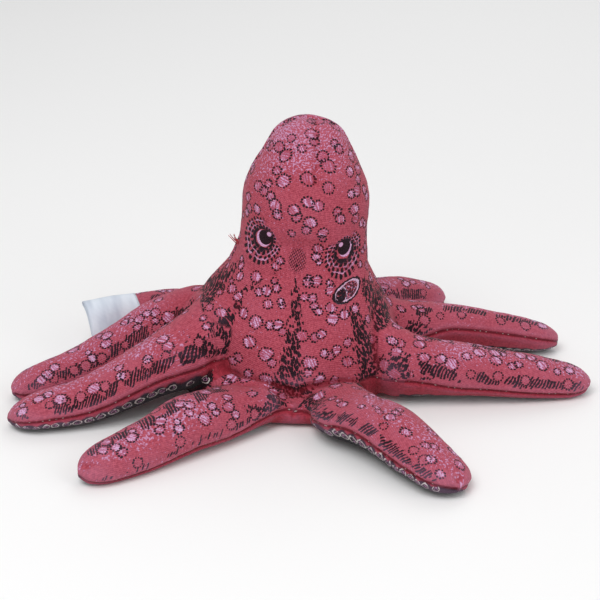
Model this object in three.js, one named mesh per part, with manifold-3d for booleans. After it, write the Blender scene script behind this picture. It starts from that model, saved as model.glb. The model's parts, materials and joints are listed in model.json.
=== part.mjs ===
// Plush octopus: a sewn cotton toy with a tall head, a bell-shaped body and eight stuffed arms.
// Each arm is an upper cloth panel and a sucker-printed underside panel, seamed along both edges
// round a roll of fibre stuffing. The head and body share a front and a back panel, closed below by
// a base panel. Every arm flexes up and down where its rounded root sits in the body's armhole.
// Millimetres, +Z up. The toy faces -Y and rests on z = 0, with the body's axis on x = y = 0.

import * as THREE from 'three';
import { mergeVertices } from 'three/addons/utils/BufferGeometryUtils.js';
import Module from 'manifold-3d';

const wasm = await Module();
wasm.setup();

// Cloth and fit
const CLOTH = 0.9; // printed cotton with its lining
const SEAM_GAP = 0.3; // between two panels at a seam, and between a panel and its stuffing
const ARMHOLE_CLEARANCE = 0.5; // round an arm's root, so that the arm can flex
const PRESSED_FLAT = 0.5; // depth to which soft forms flatten on the floor
const CUT_OVERRUN = 5; // how far a cutting block runs past what it cuts
const WELD = 0.0005; // points closer than this are one point

// Head and body
const BODY_HEIGHT = 106.5;
const BODY_RADIUS = 38;
const BODY_LEAN = 5; // how far back of the body's axis the top of the head stands
const HEAD_OFFSET = 2.2; // how far to the right of the body's axis the head stands

// Arms
const ARM_LENGTH = 78; // from the hinge to the tip, along the floor
const ROOT_RADIUS = 11.5; // half the height of an arm at its root
const ROOT_SPACING = 1.3; // between the two neighbouring roots that are closest
const ROOT_OFF_FLOOR = 1;
const HINGE_OUTSTAND = 3; // how far outside the body's radius the arms' hinges are set
const ARM_LIFT = 40; // how far an arm can be raised, in degrees

// Care label, a plain satin ribbon folded in two
const LABEL_WIDTH = 22;
const LABEL_HEIGHT = 17;
const LABEL_PLY = 0.35;
const LABEL_FOLD_RADIUS = 0.6; // inside radius of the fold
const LABEL_LEAN = 38; // degrees back from upright
const LABEL_CURL = 50; // degrees that the top has turned over backwards
const LABEL_ARM_SHARE = 0.38; // where along its arm the middle of the label is sewn

// How finely forms are cut
const BODY_SEGMENTS = 24;
const BODY_RINGS = 14;
const RING_SPREAD = 0.85; // rings lie closer together towards the crown
const TOP_SEGMENTS = 6;
const UNDERSIDE_SEGMENTS = 4;
const ARMHOLE_SEGMENTS = 16;
const LABEL_STEPS = 6;
const FOLD_STEPS = 6;
const ROOT_ANGLES = [138, 114, 90]; // rings round an arm's root, in degrees back from its heading
const ROOT_END_ANGLES = [180, 160]; // and those that only its stuffing reaches
const ARM_STATION_SHARES = [0.08, 0.18, 0.3, 0.44, 0.58, 0.72, 0.84, 0.93, 0.98];
const SLOPE_STEP_SHARE = 0.01; // length of arm over which its slope is taken

// Outline of the head and body from the base to the crown, evenly spaced in height
const BODY_RIGHT_SHARES = [0.93, 0.99, 0.97, 0.92, 0.8, 0.68, 0.64, 0.64, 0.63, 0.54, 0.41, 0.29];
const BODY_LEFT_SHARES = [0.92, 0.98, 1.01, 1.04, 0.98, 0.79, 0.66, 0.64, 0.63, 0.54, 0.41, 0.29];
const BODY_DEPTH_SHARES = [0.93, 0.99, 0.95, 0.85, 0.72, 0.6, 0.54, 0.57, 0.57, 0.5, 0.38, 0.27];
const BODY_LEAN_SHARES = [0, 0, 0, 0.05, 0.15, 0.3, 0.45, 0.62, 0.78, 0.9, 1, 1];
const NECK_SHARE = 0.52; // height at which the head's stuffing meets the body's
const CROWN_SHARE = 0.93; // height at which the crown starts to close

// Girth of an arm from its root to its tip, evenly spaced
const ARM_WIDTH_SHARES = [1, 0.88, 0.79, 0.69, 0.54];
const ARM_TOP_SHARES = [1, 0.86, 0.76, 0.64, 0.5];
const ARM_BOTTOM_SHARES = [1, 0.75, 0.6, 0.48, 0.36];
const ARM_TIP_SHARE = 0.86; // where an arm starts to close to its tip
const SWELL_SHARE = 0.5; // how far along an arm a thicker root has slimmed down
const ROLL_SHARE = 0.35; // how far along an arm its roll is complete

// Where each arm leaves the body, its heading at the root and at the tip, and how far it rolls about
// its own length, all in degrees, anticlockwise seen from above. Its shares are of the length of an
// arm, the girth of a root, the height of a hinge, and its own length before it comes to the floor.
const ARMS = [
  { name: 'front_left', root: 244, start: 227, end: 213, roll: 0, shares: [1.02, 1, 1, 0.75] },
  { name: 'front_right', root: 290, start: 314, end: 302, roll: -30, shares: [0.93, 1, 1, 0.75] },
  { name: 'right_fore', root: 336, start: 354, end: 370, roll: -8, shares: [0.98, 1, 1, 1] },
  { name: 'right_rear', root: 22, start: 12, end: 0, roll: -24, shares: [0.88, 1, 1, 1] },
  { name: 'back_right', root: 66, start: 56, end: 16, roll: 0, shares: [0.73, 0.9, 0.9, 1] },
  { name: 'back_left', root: 122, start: 156, end: 170, roll: 26, shares: [0.84, 0.9, 0.9, 1] },
  { name: 'left_rear', root: 166, start: 194, end: 216, roll: 0, shares: [1.02, 1.15, 1.6, 0.7] },
  { name: 'left_fore', root: 202, start: 204, end: 194, roll: 24, shares: [0.99, 1.15, 1.6, 0.7] },
];
const LABEL_ARM = 'left_rear';

const CORAL = 0xc04a58;
const PINK = 0xc9586a;
const INK = 0x1d1a26;
const FIBRE = 0xf3f1ea;
const SATIN = 0xe6e7e6;

const { clamp, degToRad: radians, lerp, smoothstep } = THREE.MathUtils;

// Value at t, from 0 to 1, on a smooth curve through evenly spaced shares.
function along(shares, t) {
  const place = t * (shares.length - 1);
  const i = Math.min(Math.floor(place), shares.length - 2);
  const at = (k) => shares[clamp(k, 0, shares.length - 1)];
  const slope = (k) => (at(k + 1) - at(k - 1)) / 2;
  const f = place - i;
  const rise = at(i + 1) - at(i);
  const bend = slope(i) + slope(i + 1) - 2 * rise;
  return at(i) + f * (slope(i) + f * (3 * rise - 2 * slope(i) - slope(i + 1) + f * bend));
}

// How much of its girth a form keeps at t, where it closes in an ellipse from start to 1.
function closing(t, start) {
  return t <= start ? 1 : Math.sqrt(Math.max(0, 1 - ((t - start) / (1 - start)) ** 2));
}

// Triangles gathered into a closed geometry, with its faces turned outwards.
class Surface {
  constructor() {
    this.points = [];
  }

  triangle(a, b, c) {
    const sides = [a.distanceTo(b), b.distanceTo(c), c.distanceTo(a)];
    if (Math.min(...sides) > WELD) this.points.push(a, b, c);
  }

  // A grid of quads between two rows of points, from one edge to the other.
  strip(row, next, { inward = false } = {}) {
    for (let j = 0; j < row.length - 1; j++) {
      const [a, b, c, d] = [row[j], row[j + 1], next[j + 1], next[j]];
      this.triangle(a, ...(inward ? [c, d] : [d, c]));
      this.triangle(a, ...(inward ? [b, c] : [c, b]));
    }
  }

  geometry() {
    let volume = 0;
    for (let i = 0; i < this.points.length; i += 3) {
      const [a, b, c] = this.points.slice(i, i + 3);
      volume += a.dot(b.clone().cross(c));
    }
    const turned = volume < 0 ? this.points.slice().reverse() : this.points;
    return new THREE.BufferGeometry().setFromPoints(turned);
  }
}

// A closed cloth panel between an outer and an inner sheet of points with the same rows. Their last
// rows may each be one repeated point.
function panel(outer, inner) {
  const surface = new Surface();
  for (let i = 0; i < outer.length - 1; i++) {
    surface.strip(outer[i], outer[i + 1]);
    surface.strip(inner[i], inner[i + 1], { inward: true });
  }
  const edge = (rows, j) => rows.map((row) => row.at(j));
  surface.strip(edge(outer, 0), edge(inner, 0));
  surface.strip(edge(inner, -1), edge(outer, -1));
  surface.strip(inner[0], outer[0]);
  return surface.geometry();
}

// A closed form through rows of points that each go once round it. The first and last rows are each
// one repeated point.
function roundForm(rows) {
  const surface = new Surface();
  const closed = rows.map((row) => [...row, row[0]]);
  for (let i = 0; i < closed.length - 1; i++) surface.strip(closed[i], closed[i + 1]);
  return surface.geometry();
}

function solidOf(geometry) {
  const loose = geometry.index ? geometry.toNonIndexed() : geometry;
  const bare = new THREE.BufferGeometry();
  bare.setAttribute('position', loose.getAttribute('position'));
  const merged = mergeVertices(bare, WELD);
  return new wasm.Manifold(new wasm.Mesh({
    numProp: 3,
    vertProperties: merged.getAttribute('position').array,
    triVerts: new Uint32Array(merged.index.array),
  }));
}

function geometryOf(solid) {
  const mesh = solid.getMesh();
  const geometry = new THREE.BufferGeometry();
  geometry.setAttribute('position', new THREE.BufferAttribute(mesh.vertProperties, mesh.numProp));
  geometry.setIndex(new THREE.BufferAttribute(mesh.triVerts, 1));
  return geometry;
}

// The space between two heights or depths, as a cutting block that holds the whole body.
function block(axis, low, high) {
  const reach = 2 * (BODY_HEIGHT + CUT_OVERRUN);
  const size = new THREE.Vector3(reach, reach, reach);
  const middle = new THREE.Vector3();
  size[axis] = high - low;
  middle[axis] = (low + high) / 2;
  const box = new THREE.BoxGeometry(size.x, size.y, size.z);
  return solidOf(box.translate(middle.x, middle.y, middle.z));
}

// How far the head and body reach to one side at a height share, drawn in by an inset.
function bodyReach(shares, inset, t) {
  return Math.max(0, along(shares, t) * BODY_RADIUS - inset) * closing(t, CROWN_SHARE);
}

// The head and body as one closed form, drawn in by an inset on every side.
function bodyForm(inset, segments) {
  const ring = (t, open) => {
    const right = open * bodyReach(BODY_RIGHT_SHARES, inset, t);
    const left = open * bodyReach(BODY_LEFT_SHARES, inset, t);
    const depth = open * bodyReach(BODY_DEPTH_SHARES, inset, t);
    return Array.from({ length: segments }, (_, j) => {
      const angle = (j / segments) * 2 * Math.PI;
      const across = Math.cos(angle);
      return new THREE.Vector3(
        HEAD_OFFSET * along(BODY_LEAN_SHARES, t) + across * (across > 0 ? right : left),
        BODY_LEAN * along(BODY_LEAN_SHARES, t) + Math.sin(angle) * depth,
        lerp(inset, BODY_HEIGHT - inset, t),
      );
    });
  };
  const rows = [ring(0, 0)];
  for (let i = 0; i <= BODY_RINGS; i++) {
    rows.push(ring(Math.sin((i / BODY_RINGS) * Math.PI / 2) ** RING_SPREAD, 1));
  }
  return solidOf(roundForm(rows));
}

// The arms are as wide at their roots as the circle of their hinges has room for.
const hingeCircle = BODY_RADIUS + HINGE_OUTSTAND;
const closestTurn = Math.min(...ARMS.map((arm, i) => {
  const turn = ARMS[(i + 1) % ARMS.length].root - arm.root;
  return turn < 0 ? turn + 360 : turn;
}));
const armHalfWidth = hingeCircle * Math.sin(radians(closestTurn / 2)) - ROOT_SPACING / 2;

// Lines up an arm: where its hinge is, how long and thick it is, and its frame at any share.
function layOut(arm) {
  const [lengthShare, rootShare, hingeShare, landingShare] = arm.shares;
  const length = ARM_LENGTH * lengthShare;
  const root = radians(arm.root);
  const hinge = new THREE.Vector3(
    hingeCircle * Math.cos(root),
    hingeCircle * Math.sin(root),
    (ROOT_RADIUS + ROOT_OFF_FLOOR) * hingeShare,
  );
  const level = (t) => {
    const heading = radians(lerp(arm.start, arm.end, t));
    return new THREE.Vector3(Math.cos(heading), Math.sin(heading), 0);
  };
  const girth = (t) => {
    const swell = lerp(rootShare, 1, smoothstep(t, 0, SWELL_SHARE));
    return {
      width: armHalfWidth * along(ARM_WIDTH_SHARES, t),
      top: ROOT_RADIUS * along(ARM_TOP_SHARES, t) * swell,
      bottom: ROOT_RADIUS * along(ARM_BOTTOM_SHARES, t) * swell,
    };
  };
  const roll = (t) => radians(arm.roll) * smoothstep(t, 0, ROLL_SHARE);

  // Height of the arm's middle where its underside just presses on the floor.
  const restHeight = (t) => {
    const { width, bottom } = girth(t);
    return Math.hypot(width * Math.sin(roll(t)), bottom * Math.cos(roll(t))) - PRESSED_FLAT;
  };
  const turn = radians(arm.end - arm.start);
  const centre = (t) => {
    const reach = length * Math.sin(turn * t / 2) / (turn / 2);
    const bearing = radians(arm.start) + turn * t / 2;
    const landed = smoothstep(t, 0, landingShare);
    return new THREE.Vector3(
      hinge.x + reach * Math.cos(bearing),
      hinge.y + reach * Math.sin(bearing),
      lerp(hinge.z, restHeight(t), landed),
    );
  };
  return { hinge, length, level, girth, roll, centre };
}

// Rows of points round an arm, from its root to its tip. The section angles run anticlockwise from
// the right-hand seam, seen along the arm from its tip. Each row is drawn in by an inset, and lifted
// by a shift off the middle of the seam.
function armRows(arm, { inset, shift, angles, rootAngles }) {
  const path = layOut(arm);
  const rows = [];
  const addRow = (centre, forward, roll, half) => {
    const side = new THREE.Vector3(0, 0, 1).cross(forward).normalize();
    const up = forward.clone().cross(side);
    side.applyAxisAngle(forward, roll);
    up.applyAxisAngle(forward, roll);
    rows.push(angles.map((angle) => {
      const rise = Math.sin(angle);
      const point = centre.clone()
        .addScaledVector(side, Math.cos(angle) * half.width)
        .addScaledVector(up, rise * (rise > 0 ? half.top : half.bottom) + shift);
      point.z = Math.max(point.z, inset);
      return point;
    }));
  };
  const root = path.girth(0);
  for (const angle of rootAngles) {
    const forward = path.level(0);
    const closed = Math.sin(radians(angle));
    const back = (root.top - inset) * Math.cos(radians(angle));
    addRow(path.hinge.clone().addScaledVector(forward, back), forward, 0, {
      width: (root.width - inset) * closed,
      top: (root.top - inset) * closed,
      bottom: (root.bottom - inset) * closed,
    });
  }
  const shrink = 1 - inset / path.length; // the inner sheets end short of the tip
  for (const t of [...ARM_STATION_SHARES, 1]) {
    const whole = path.girth(t);
    const closed = closing(t, ARM_TIP_SHARE);
    const forward = path.centre(t).sub(path.centre(t - SLOPE_STEP_SHARE)).normalize();
    addRow(path.centre(t * shrink), forward, path.roll(t), {
      width: (whole.width - inset) * closed,
      top: (whole.top - inset) * closed,
      bottom: (whole.bottom - inset) * closed,
    });
  }
  return rows;
}

// Angles in even steps from one to the other, in radians.
function steps(from, to, count) {
  return Array.from({ length: count + 1 }, (_, i) => radians(from + ((to - from) * i) / count));
}

const topAngles = steps(0, 180, TOP_SEGMENTS);
const undersideAngles = steps(180, 360, UNDERSIDE_SEGMENTS);

function armPanel(arm, angles, shift) {
  const sheet = (inset) => armRows(arm, { inset, shift, angles, rootAngles: ROOT_ANGLES });
  return panel(sheet(0), sheet(CLOTH));
}

function armStuffing(arm) {
  return roundForm(armRows(arm, {
    inset: CLOTH + SEAM_GAP,
    shift: 0,
    angles: [...topAngles.slice(0, -1), ...undersideAngles.slice(0, -1)],
    rootAngles: [...ROOT_END_ANGLES, ...ROOT_ANGLES],
  }));
}

// The space that an arm needs in the body, round its root and up to where it can be raised.
function armhole(arm) {
  const path = layOut(arm);
  const { width, top } = path.girth(0);
  const radius = top + ARMHOLE_CLEARANCE;
  const ball = new THREE.SphereGeometry(1, ARMHOLE_SEGMENTS, ARMHOLE_SEGMENTS / 2);
  ball.scale(radius, width + ARMHOLE_CLEARANCE, radius);
  ball.rotateZ(radians(arm.start));
  ball.translate(path.hinge.x, path.hinge.y, path.hinge.z);
  const root = solidOf(ball);
  const lift = radians(ARM_LIFT);
  const raised = path.level(0).multiplyScalar(Math.cos(lift)).setZ(Math.sin(lift))
    .multiplyScalar(path.length / 2);
  return wasm.Manifold.hull([root, root.translate(raised.x, raised.y, raised.z)]);
}

// A satin ribbon folded in two and curled over, standing on the back seam of its arm.
function labelGeometry() {
  const shape = new THREE.Shape();
  const depth = 2 * LABEL_PLY + 2 * LABEL_FOLD_RADIUS;
  const straight = LABEL_HEIGHT / 2;
  const curl = radians(LABEL_CURL);
  const radius = straight / curl;
  // The label's middle line: straight up from the seam, then round a wide curve.
  const middle = (s, off) => {
    if (s <= straight) return new THREE.Vector2(off, s);
    const angle = (s - straight) / radius;
    return new THREE.Vector2(
      off - (radius + off) * (1 - Math.cos(angle)),
      straight + (radius + off) * Math.sin(angle),
    );
  };
  const stops = Array.from({ length: LABEL_STEPS + 1 }, (_, i) => (LABEL_HEIGHT * i) / LABEL_STEPS);
  const ply = (off) => stops.map((s) => middle(s, off));
  const fold = (bend) => steps(0, 180, FOLD_STEPS).slice(1, -1).map((angle) => middle(
    LABEL_HEIGHT + bend * Math.sin(angle),
    bend * Math.cos(angle),
  ));
  const outline = [
    ...ply(depth / 2),
    ...fold(depth / 2),
    ...ply(-depth / 2).reverse(),
    ...ply(-LABEL_FOLD_RADIUS),
    ...fold(LABEL_FOLD_RADIUS).reverse(),
    ...ply(LABEL_FOLD_RADIUS).reverse(),
  ];
  shape.setFromPoints(outline);
  const geometry = new THREE.ExtrudeGeometry(shape, { depth: LABEL_WIDTH, bevelEnabled: false });
  return geometry.translate(0, 0, -LABEL_WIDTH / 2);
}

// Puts the label on the outer back seam of its arm, leaning away from it.
function placeLabel(mesh, arm) {
  const path = layOut(arm);
  const t = LABEL_ARM_SHARE;
  const forward = path.level(t);
  const side = new THREE.Vector3(0, 0, 1).cross(forward).negate();
  const up = new THREE.Vector3(0, 0, 1);
  const lean = radians(LABEL_LEAN);
  const rise = up.clone().multiplyScalar(Math.cos(lean)).addScaledVector(side, Math.sin(lean));
  const face = rise.clone().cross(forward);
  mesh.matrix.makeBasis(face, rise, forward);
  const foot = path.centre(t)
    .addScaledVector(side, path.girth(t).width + SEAM_GAP + LABEL_PLY + LABEL_FOLD_RADIUS);
  mesh.matrix.setPosition(foot);
  mesh.matrix.decompose(mesh.position, mesh.quaternion, mesh.scale);
}

const materials = {
  print: new THREE.MeshStandardMaterial({ color: CORAL, roughness: 0.92, metalness: 0 }),
  sole: new THREE.MeshStandardMaterial({ color: INK, roughness: 0.92, metalness: 0 }),
  base: new THREE.MeshStandardMaterial({ color: PINK, roughness: 0.92, metalness: 0 }),
  fibre: new THREE.MeshStandardMaterial({ color: FIBRE, roughness: 1, metalness: 0 }),
  satin: new THREE.MeshStandardMaterial({ color: SATIN, roughness: 0.45, metalness: 0 }),
};

const octopus = new THREE.Group();

function add(name, geometry, material) {
  const mesh = new THREE.Mesh(geometry, material);
  mesh.name = name;
  octopus.add(mesh);
  return mesh;
}

function addBody() {
  const holes = ARMS.map(armhole).reduce((all, hole) => all.add(hole));
  const outer = bodyForm(0, BODY_SEGMENTS);
  const hollow = bodyForm(CLOTH, BODY_SEGMENTS);
  const stuffing = bodyForm(CLOTH + SEAM_GAP, BODY_SEGMENTS / 2);
  const halfGap = SEAM_GAP / 2;
  const reach = BODY_HEIGHT + CUT_OVERRUN;
  const neck = BODY_HEIGHT * NECK_SHARE;
  const skin = outer.subtract(hollow)
    .intersect(block('z', CLOTH + SEAM_GAP, reach))
    .subtract(holes);
  const front = skin.intersect(block('y', -reach, -halfGap));
  const back = skin.intersect(block('y', halfGap, reach));
  add('front_panel', geometryOf(front), materials.print);
  add('back_panel', geometryOf(back), materials.print);
  add('base_panel', geometryOf(outer.intersect(block('z', 0, CLOTH)).subtract(holes)), materials.base);
  const headFill = stuffing.intersect(block('z', neck + halfGap, reach));
  const bodyFill = stuffing.intersect(block('z', 0, neck - halfGap)).subtract(holes);
  add('head_stuffing', geometryOf(headFill), materials.fibre);
  add('body_stuffing', geometryOf(bodyFill), materials.fibre);
}

function addArm(arm) {
  add(`${arm.name}_arm_top`, armPanel(arm, topAngles, SEAM_GAP / 2), materials.print);
  add(`${arm.name}_arm_underside`, armPanel(arm, undersideAngles, -SEAM_GAP / 2), materials.sole);
  add(`${arm.name}_arm_stuffing`, armStuffing(arm), materials.fibre);
}

addBody();
ARMS.forEach(addArm);
placeLabel(
  add('care_label', labelGeometry(), materials.satin),
  ARMS.find((arm) => arm.name === LABEL_ARM),
);

export default octopus;
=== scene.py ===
"""Looks for the plush octopus: printed cotton skins over stuffing, a satin care label and the stage.

The head, body and arms are made as one stuffed form, puffed by a cloth simulation between its sewn
seams, and then cut into one skin for the body and one for each arm. Sizes are in millimetres, and
meshes are written in metres.
"""

import json
import math

import bpy
import numpy as np
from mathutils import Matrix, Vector
from mathutils.kdtree import KDTree
from mathutils import noise


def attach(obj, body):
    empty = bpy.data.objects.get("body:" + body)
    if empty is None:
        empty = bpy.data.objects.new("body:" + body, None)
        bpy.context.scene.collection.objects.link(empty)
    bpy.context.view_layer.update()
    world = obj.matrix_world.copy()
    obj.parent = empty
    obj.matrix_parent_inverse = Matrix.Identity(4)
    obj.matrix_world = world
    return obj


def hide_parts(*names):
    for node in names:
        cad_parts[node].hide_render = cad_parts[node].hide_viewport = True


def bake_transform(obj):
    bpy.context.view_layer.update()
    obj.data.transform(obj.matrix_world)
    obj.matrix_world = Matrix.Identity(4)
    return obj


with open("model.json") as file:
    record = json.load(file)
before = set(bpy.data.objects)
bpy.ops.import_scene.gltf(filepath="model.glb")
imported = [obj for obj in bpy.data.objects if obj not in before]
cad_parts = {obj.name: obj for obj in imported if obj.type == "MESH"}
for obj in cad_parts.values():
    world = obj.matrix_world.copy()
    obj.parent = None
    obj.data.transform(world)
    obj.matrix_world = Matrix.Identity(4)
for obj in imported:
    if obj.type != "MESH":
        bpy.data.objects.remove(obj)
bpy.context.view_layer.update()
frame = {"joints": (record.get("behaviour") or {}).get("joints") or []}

bl_info = {
    "name": "Plush octopus",
    "version": (1, 0, 0),
    "blender": (4, 5, 0),
    "location": "View3D > Sidebar > Octopus",
    "description": "Builds the skins, print, label and stage of a plush octopus round its packed frame",
    "category": "Add Mesh",
}

MM = 0.001

# Outline of the head and body from the base to the crown. It follows part.mjs, but the stuffed head
# leans a little further to the right than its solid, and its crown is a little slimmer on the left.
BODY_HEIGHT = 106.5
BODY_RADIUS = 38
BODY_LEAN = 5
HEAD_OFFSET = 2.2
HEAD_LEAN_RIGHT = 0.6
BODY_RIGHT_SHARES = [0.93, 0.99, 0.97, 0.92, 0.8, 0.68, 0.64, 0.64, 0.63, 0.54, 0.41, 0.3]
BODY_LEFT_SHARES = [0.92, 0.98, 1.01, 1.04, 0.98, 0.79, 0.66, 0.64, 0.63, 0.545, 0.395, 0.27]
BODY_DEPTH_SHARES = [0.93, 0.99, 0.95, 0.85, 0.72, 0.6, 0.54, 0.57, 0.57, 0.5, 0.375, 0.27]
BODY_LEAN_SHARES = [0, 0, 0, 0.05, 0.15, 0.3, 0.45, 0.62, 0.78, 0.9, 1, 1]
CROWN_SHARE = 0.93

# Arms, as part.mjs has them. Half the width at the root there follows from how close the roots are.
ARM_LENGTH = 78
ROOT_RADIUS = 11.5
ROOT_WIDTH = 12.02
ARM_WIDTH_SHARES = [1, 0.88, 0.79, 0.69, 0.54]
ARM_TOP_SHARES = [1, 0.86, 0.76, 0.64, 0.5]
ARM_BOTTOM_SHARES = [1, 0.75, 0.6, 0.48, 0.36]
ARM_TIP_SHARE = 0.86
SWELL_SHARE = 0.5
ROLL_SHARE = 0.35
PRESSED_FLAT = 0.5
SLOPE_STEP_SHARE = 0.01

# How much wider than its solid a stuffed arm is, and the shares of its length over which it spreads
# sideways and comes out from under the belly
PLUMP_WIDTH = 1.13
SPREAD_SHARE = 0.2
TUCK_SHARE = 0.5

# Heading at the tip and roll in degrees, and shares of the length of an arm, the girth of a root and
# its own length before it comes to the floor. An arm that is tucked under the belly sinks by some
# millimetres at its root, where it keeps a flat share of its height. Wide is a share too, and shift
# moves its line to the left, in millimetres. Hatch gives bands of ink strokes along it, each from one
# share of half its top panel to another, left being positive, and how full it is. Sole gives the shares
# of half its underside that are inked, to the left and right, and flecks how full of ink its root is.
# Bare gives the stretch along it with no spots on its right.
ARMS = {
    "front_left": {
        "end": 213, "roll": -25, "length": 1.02, "root": 1, "landing": 0.75, "sink": 5, "flat": 0.6,
        "hatch": [(-0.48, -0.1, 1), (0.66, 0.84, 0.5)],
    },
    "front_right": {
        "end": 302, "roll": -13, "length": 0.93, "root": 1, "landing": 0.75, "wide": 1.36, "shift": -3.5,
        "sink": 5.5, "flat": 0.62, "hatch": [(-0.86, -0.64, 1)], "sole": (0.52, 0.84),
    },
    "right_fore": {
        "end": 370, "roll": 15, "length": 0.98, "root": 1, "landing": 1,
        "hatch": [(-0.78, -0.5, 1), (0.14, 0.38, 0.9)],
    },
    "right_rear": {
        "end": 0, "roll": -24, "length": 0.88, "root": 1, "landing": 1, "hatch": [(-0.5, -0.3, 1)],
        "sole": (0.52, 0.4), "bare": (12, 52),
    },
    "back_right": {
        "end": 16, "roll": 0, "length": 0.73, "root": 0.9, "landing": 1, "shift": -3, "sink": 3.5,
        "flat": 0.7, "flecks": 0.3,
    },
    "back_left": {
        "end": 170, "roll": 26, "length": 0.84, "root": 0.9, "landing": 1, "shift": 5, "sink": 5,
        "flat": 0.65, "flecks": 0.3,
    },
    "left_rear": {
        "end": 216, "roll": 0, "length": 1.02, "root": 1.15, "landing": 0.7,
        "hatch": [(0.44, 0.7, 1), (-0.7, -0.5, 0.6)],
    },
    "left_fore": {
        "end": 194, "roll": 9, "length": 0.99, "root": 1.15, "landing": 0.7, "wide": 1.22, "shift": 4.5,
        "hatch": [(0.52, 0.82, 1), (-0.7, -0.5, 0.5)], "sole": (0.76, 0.52),
    },
}

# How finely the forms are made, before they are joined in voxels of a size in millimetres
BODY_SEGMENTS = 96
BODY_RINGS = 60
ARM_SEGMENTS = 48
ARM_STATIONS = 48
ROOT_STEPS = 8
BALL_SEGMENTS = 20
BALL_RINGS = 14
BALL_POLE = 0.05
VOXEL = 1.5
FINE_LEVELS = 1

# How a point's place on an arm is found: along its line from a share behind the hinge, so many points
# at a time, with a girth that never closes fully. FAR stands for no seam or arm near a point.
TABLE_STEPS = 160
TABLE_FROM = -0.12
TABLE_BLOCK = 20000
LEAST_CLOSING = 0.12
FAR = 99.0

# Where an arm runs smoothly into the body: the stretches along it, in millimetres, over which this
# starts and ends, and the shares of its girth
JUNCTION_START = (-16, -8)
JUNCTION_END = (10, 26)
JUNCTION_SECTION = (1.5, 2.2)
SMOOTHING_ROUNDS = 6

# The cloth simulation, run on an enlarged copy. It may move a point by so many millimetres at most.
SIMULATION_SCALE = 5
SIMULATION_FRAMES = 20
SIMULATION_PUFF = 0.5
SIMULATION_CAP = 1.5
COTTON_UNDER_PRESSURE = {
    "quality": 5, "mass": 0.3, "tension_stiffness": 15, "compression_stiffness": 15, "shear_stiffness": 5,
    "bending_stiffness": 0.5, "use_pressure": True, "uniform_pressure_force": 60,
}
FLOOR_BAND = 0.4

# Seams, cuts and where the skins of the arms bend, in millimetres, and the share of its girth within
# which a point near the root is an arm's
SEAM_WIDTH = 0.55
SEAM_DEPTH = 0.6
SEAM_LIP = 0.2
SEAM_START = 4
TUCK_DEPTH = 2.2
TUCK_WIDTH = 1.2
FOOT_BELOW = 9
FOOT_BEHIND_ARM = -20
FOOT_BESIDE_ARM = (14, 20)
ROOT_CREASE_REACH = 22
SIDE_SEAM_FROM = 50
DART_FROM = 86
DART_OFFSET = 3
CUT_AT = 1.5
FREE_FROM = 20
ARM_CAP_DEPTH = 1
CAP_INSET = 1.2
BODY_CAP_DEPTH = 3
ARM_REACH = 1.35

# Slight unevenness of the stuffing and puckers of the seams: height in millimetres, and how closely
# the lumps follow each other
LUMP_HEIGHT = 0.45
LUMP_SCALE = 0.07
DENT_HEIGHT = 0.16
DENT_SCALE = 0.21
PUCKER_SCALE = 0.33

# Round printed marks, in millimetres, and the layers in which they are kept
PRINT_SEED = 11
MARK_LAYERS = 3
OUTSIDE_MARK = 60.0
MARK_MARGIN = 1.2
DOT_PITCH = 1.05

# Ringed spots and suckers, in millimetres. A fill says how strong the lilac of a mark is, a sucker's
# radii are those at the root, the middle and the tip of an arm, and a place that is further than
# PANEL_EDGE from the cloth is off its panel.
CLUSTER_GAP = -0.3
SPOT_ROOM = 1.9
SPOT_STRETCH = 1.3
BODY_SPOTS = 250
BODY_SPOT_RADII = (1.2, 2.5)
BODY_SPOT_FILLS = [0.1, 0.32, 0.42, 0.55]
ARM_SPOTS = 30
ARM_SPOT_RADII = (1.3, 2.5)
EDGE_SPOT_RADII = (1.5, 2.2)
EDGE_SPOT_STEPS = (5, 11)
EDGE_SPOT_CHANCE = 0.7
SUCKER_RADII = [1.5, 2.1, 1.2]
SUCKER_STEP = 1.15
SUCKER_FILL = 0.5
PANEL_EDGE = 1.5

# Where the print of the body changes: heights and, for the neck, the largest spot, in millimetres, how
# crowded ink flecks may be before they keep spots away, and where along an arm its own print starts
CROWDED = 0.7
NECK_LOW = 40
NECK_HIGH = 70
NECK_SPOT = 2.0
BASE_EDGE = 1.2
BASE_SEAM_HEIGHT = 3.5
PLAIN_BELOW = 7.5
ARM_PRINT_FROM = -7

# Painted crease shade is full where the cloth lies so many millimetres deeper than the form smoothed in
# rounds
CREASE_ROUNDS = 60
CREASE_DEPTH = 1.2

# The care label, as part.mjs has it, in millimetres and degrees
LABEL_ARM = "left_rear"
LABEL_WIDTH = 22
LABEL_HEIGHT = 17
LABEL_PLY = 0.35
LABEL_FOLD_RADIUS = 0.6
LABEL_LEAN = 38
LABEL_CURL = 50
LABEL_ARM_SHARE = 0.38

# The ribbon of the care label, which bends over a short length above its seam
LABEL_COLUMNS = 23
LABEL_ROWS = 60
LABEL_WAVE = 0.9
RIB_PITCH = 0.5

# Loose thread ends, in millimetres
THREAD_PLACE = (-23.9, -1.6, 57.2)
THREAD_COUNT = 5
THREAD_RADIUS = 0.22

# Ink strokes, soles and stitches: millimetres, the slant in degrees, and the share of half an underside
# that is inked
FLECK_SPACING = 0.9
FLECK_LENGTH = 1.6
HATCH_PITCH = 1.05
STROKE_SLANT = 24
SOLE_SHARE = 0.52
SCALLOP_PITCH = 5.2
STITCH_PITCH = 2.4

# Sockets that share a name, by number
MIX_FACTOR = 0
MIX_FIRST = 6
MIX_SECOND = 7
MIX_COLOR = 2
ATTRIBUTE_VECTOR = 1
ATTRIBUTE_NUMBER = 2

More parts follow.
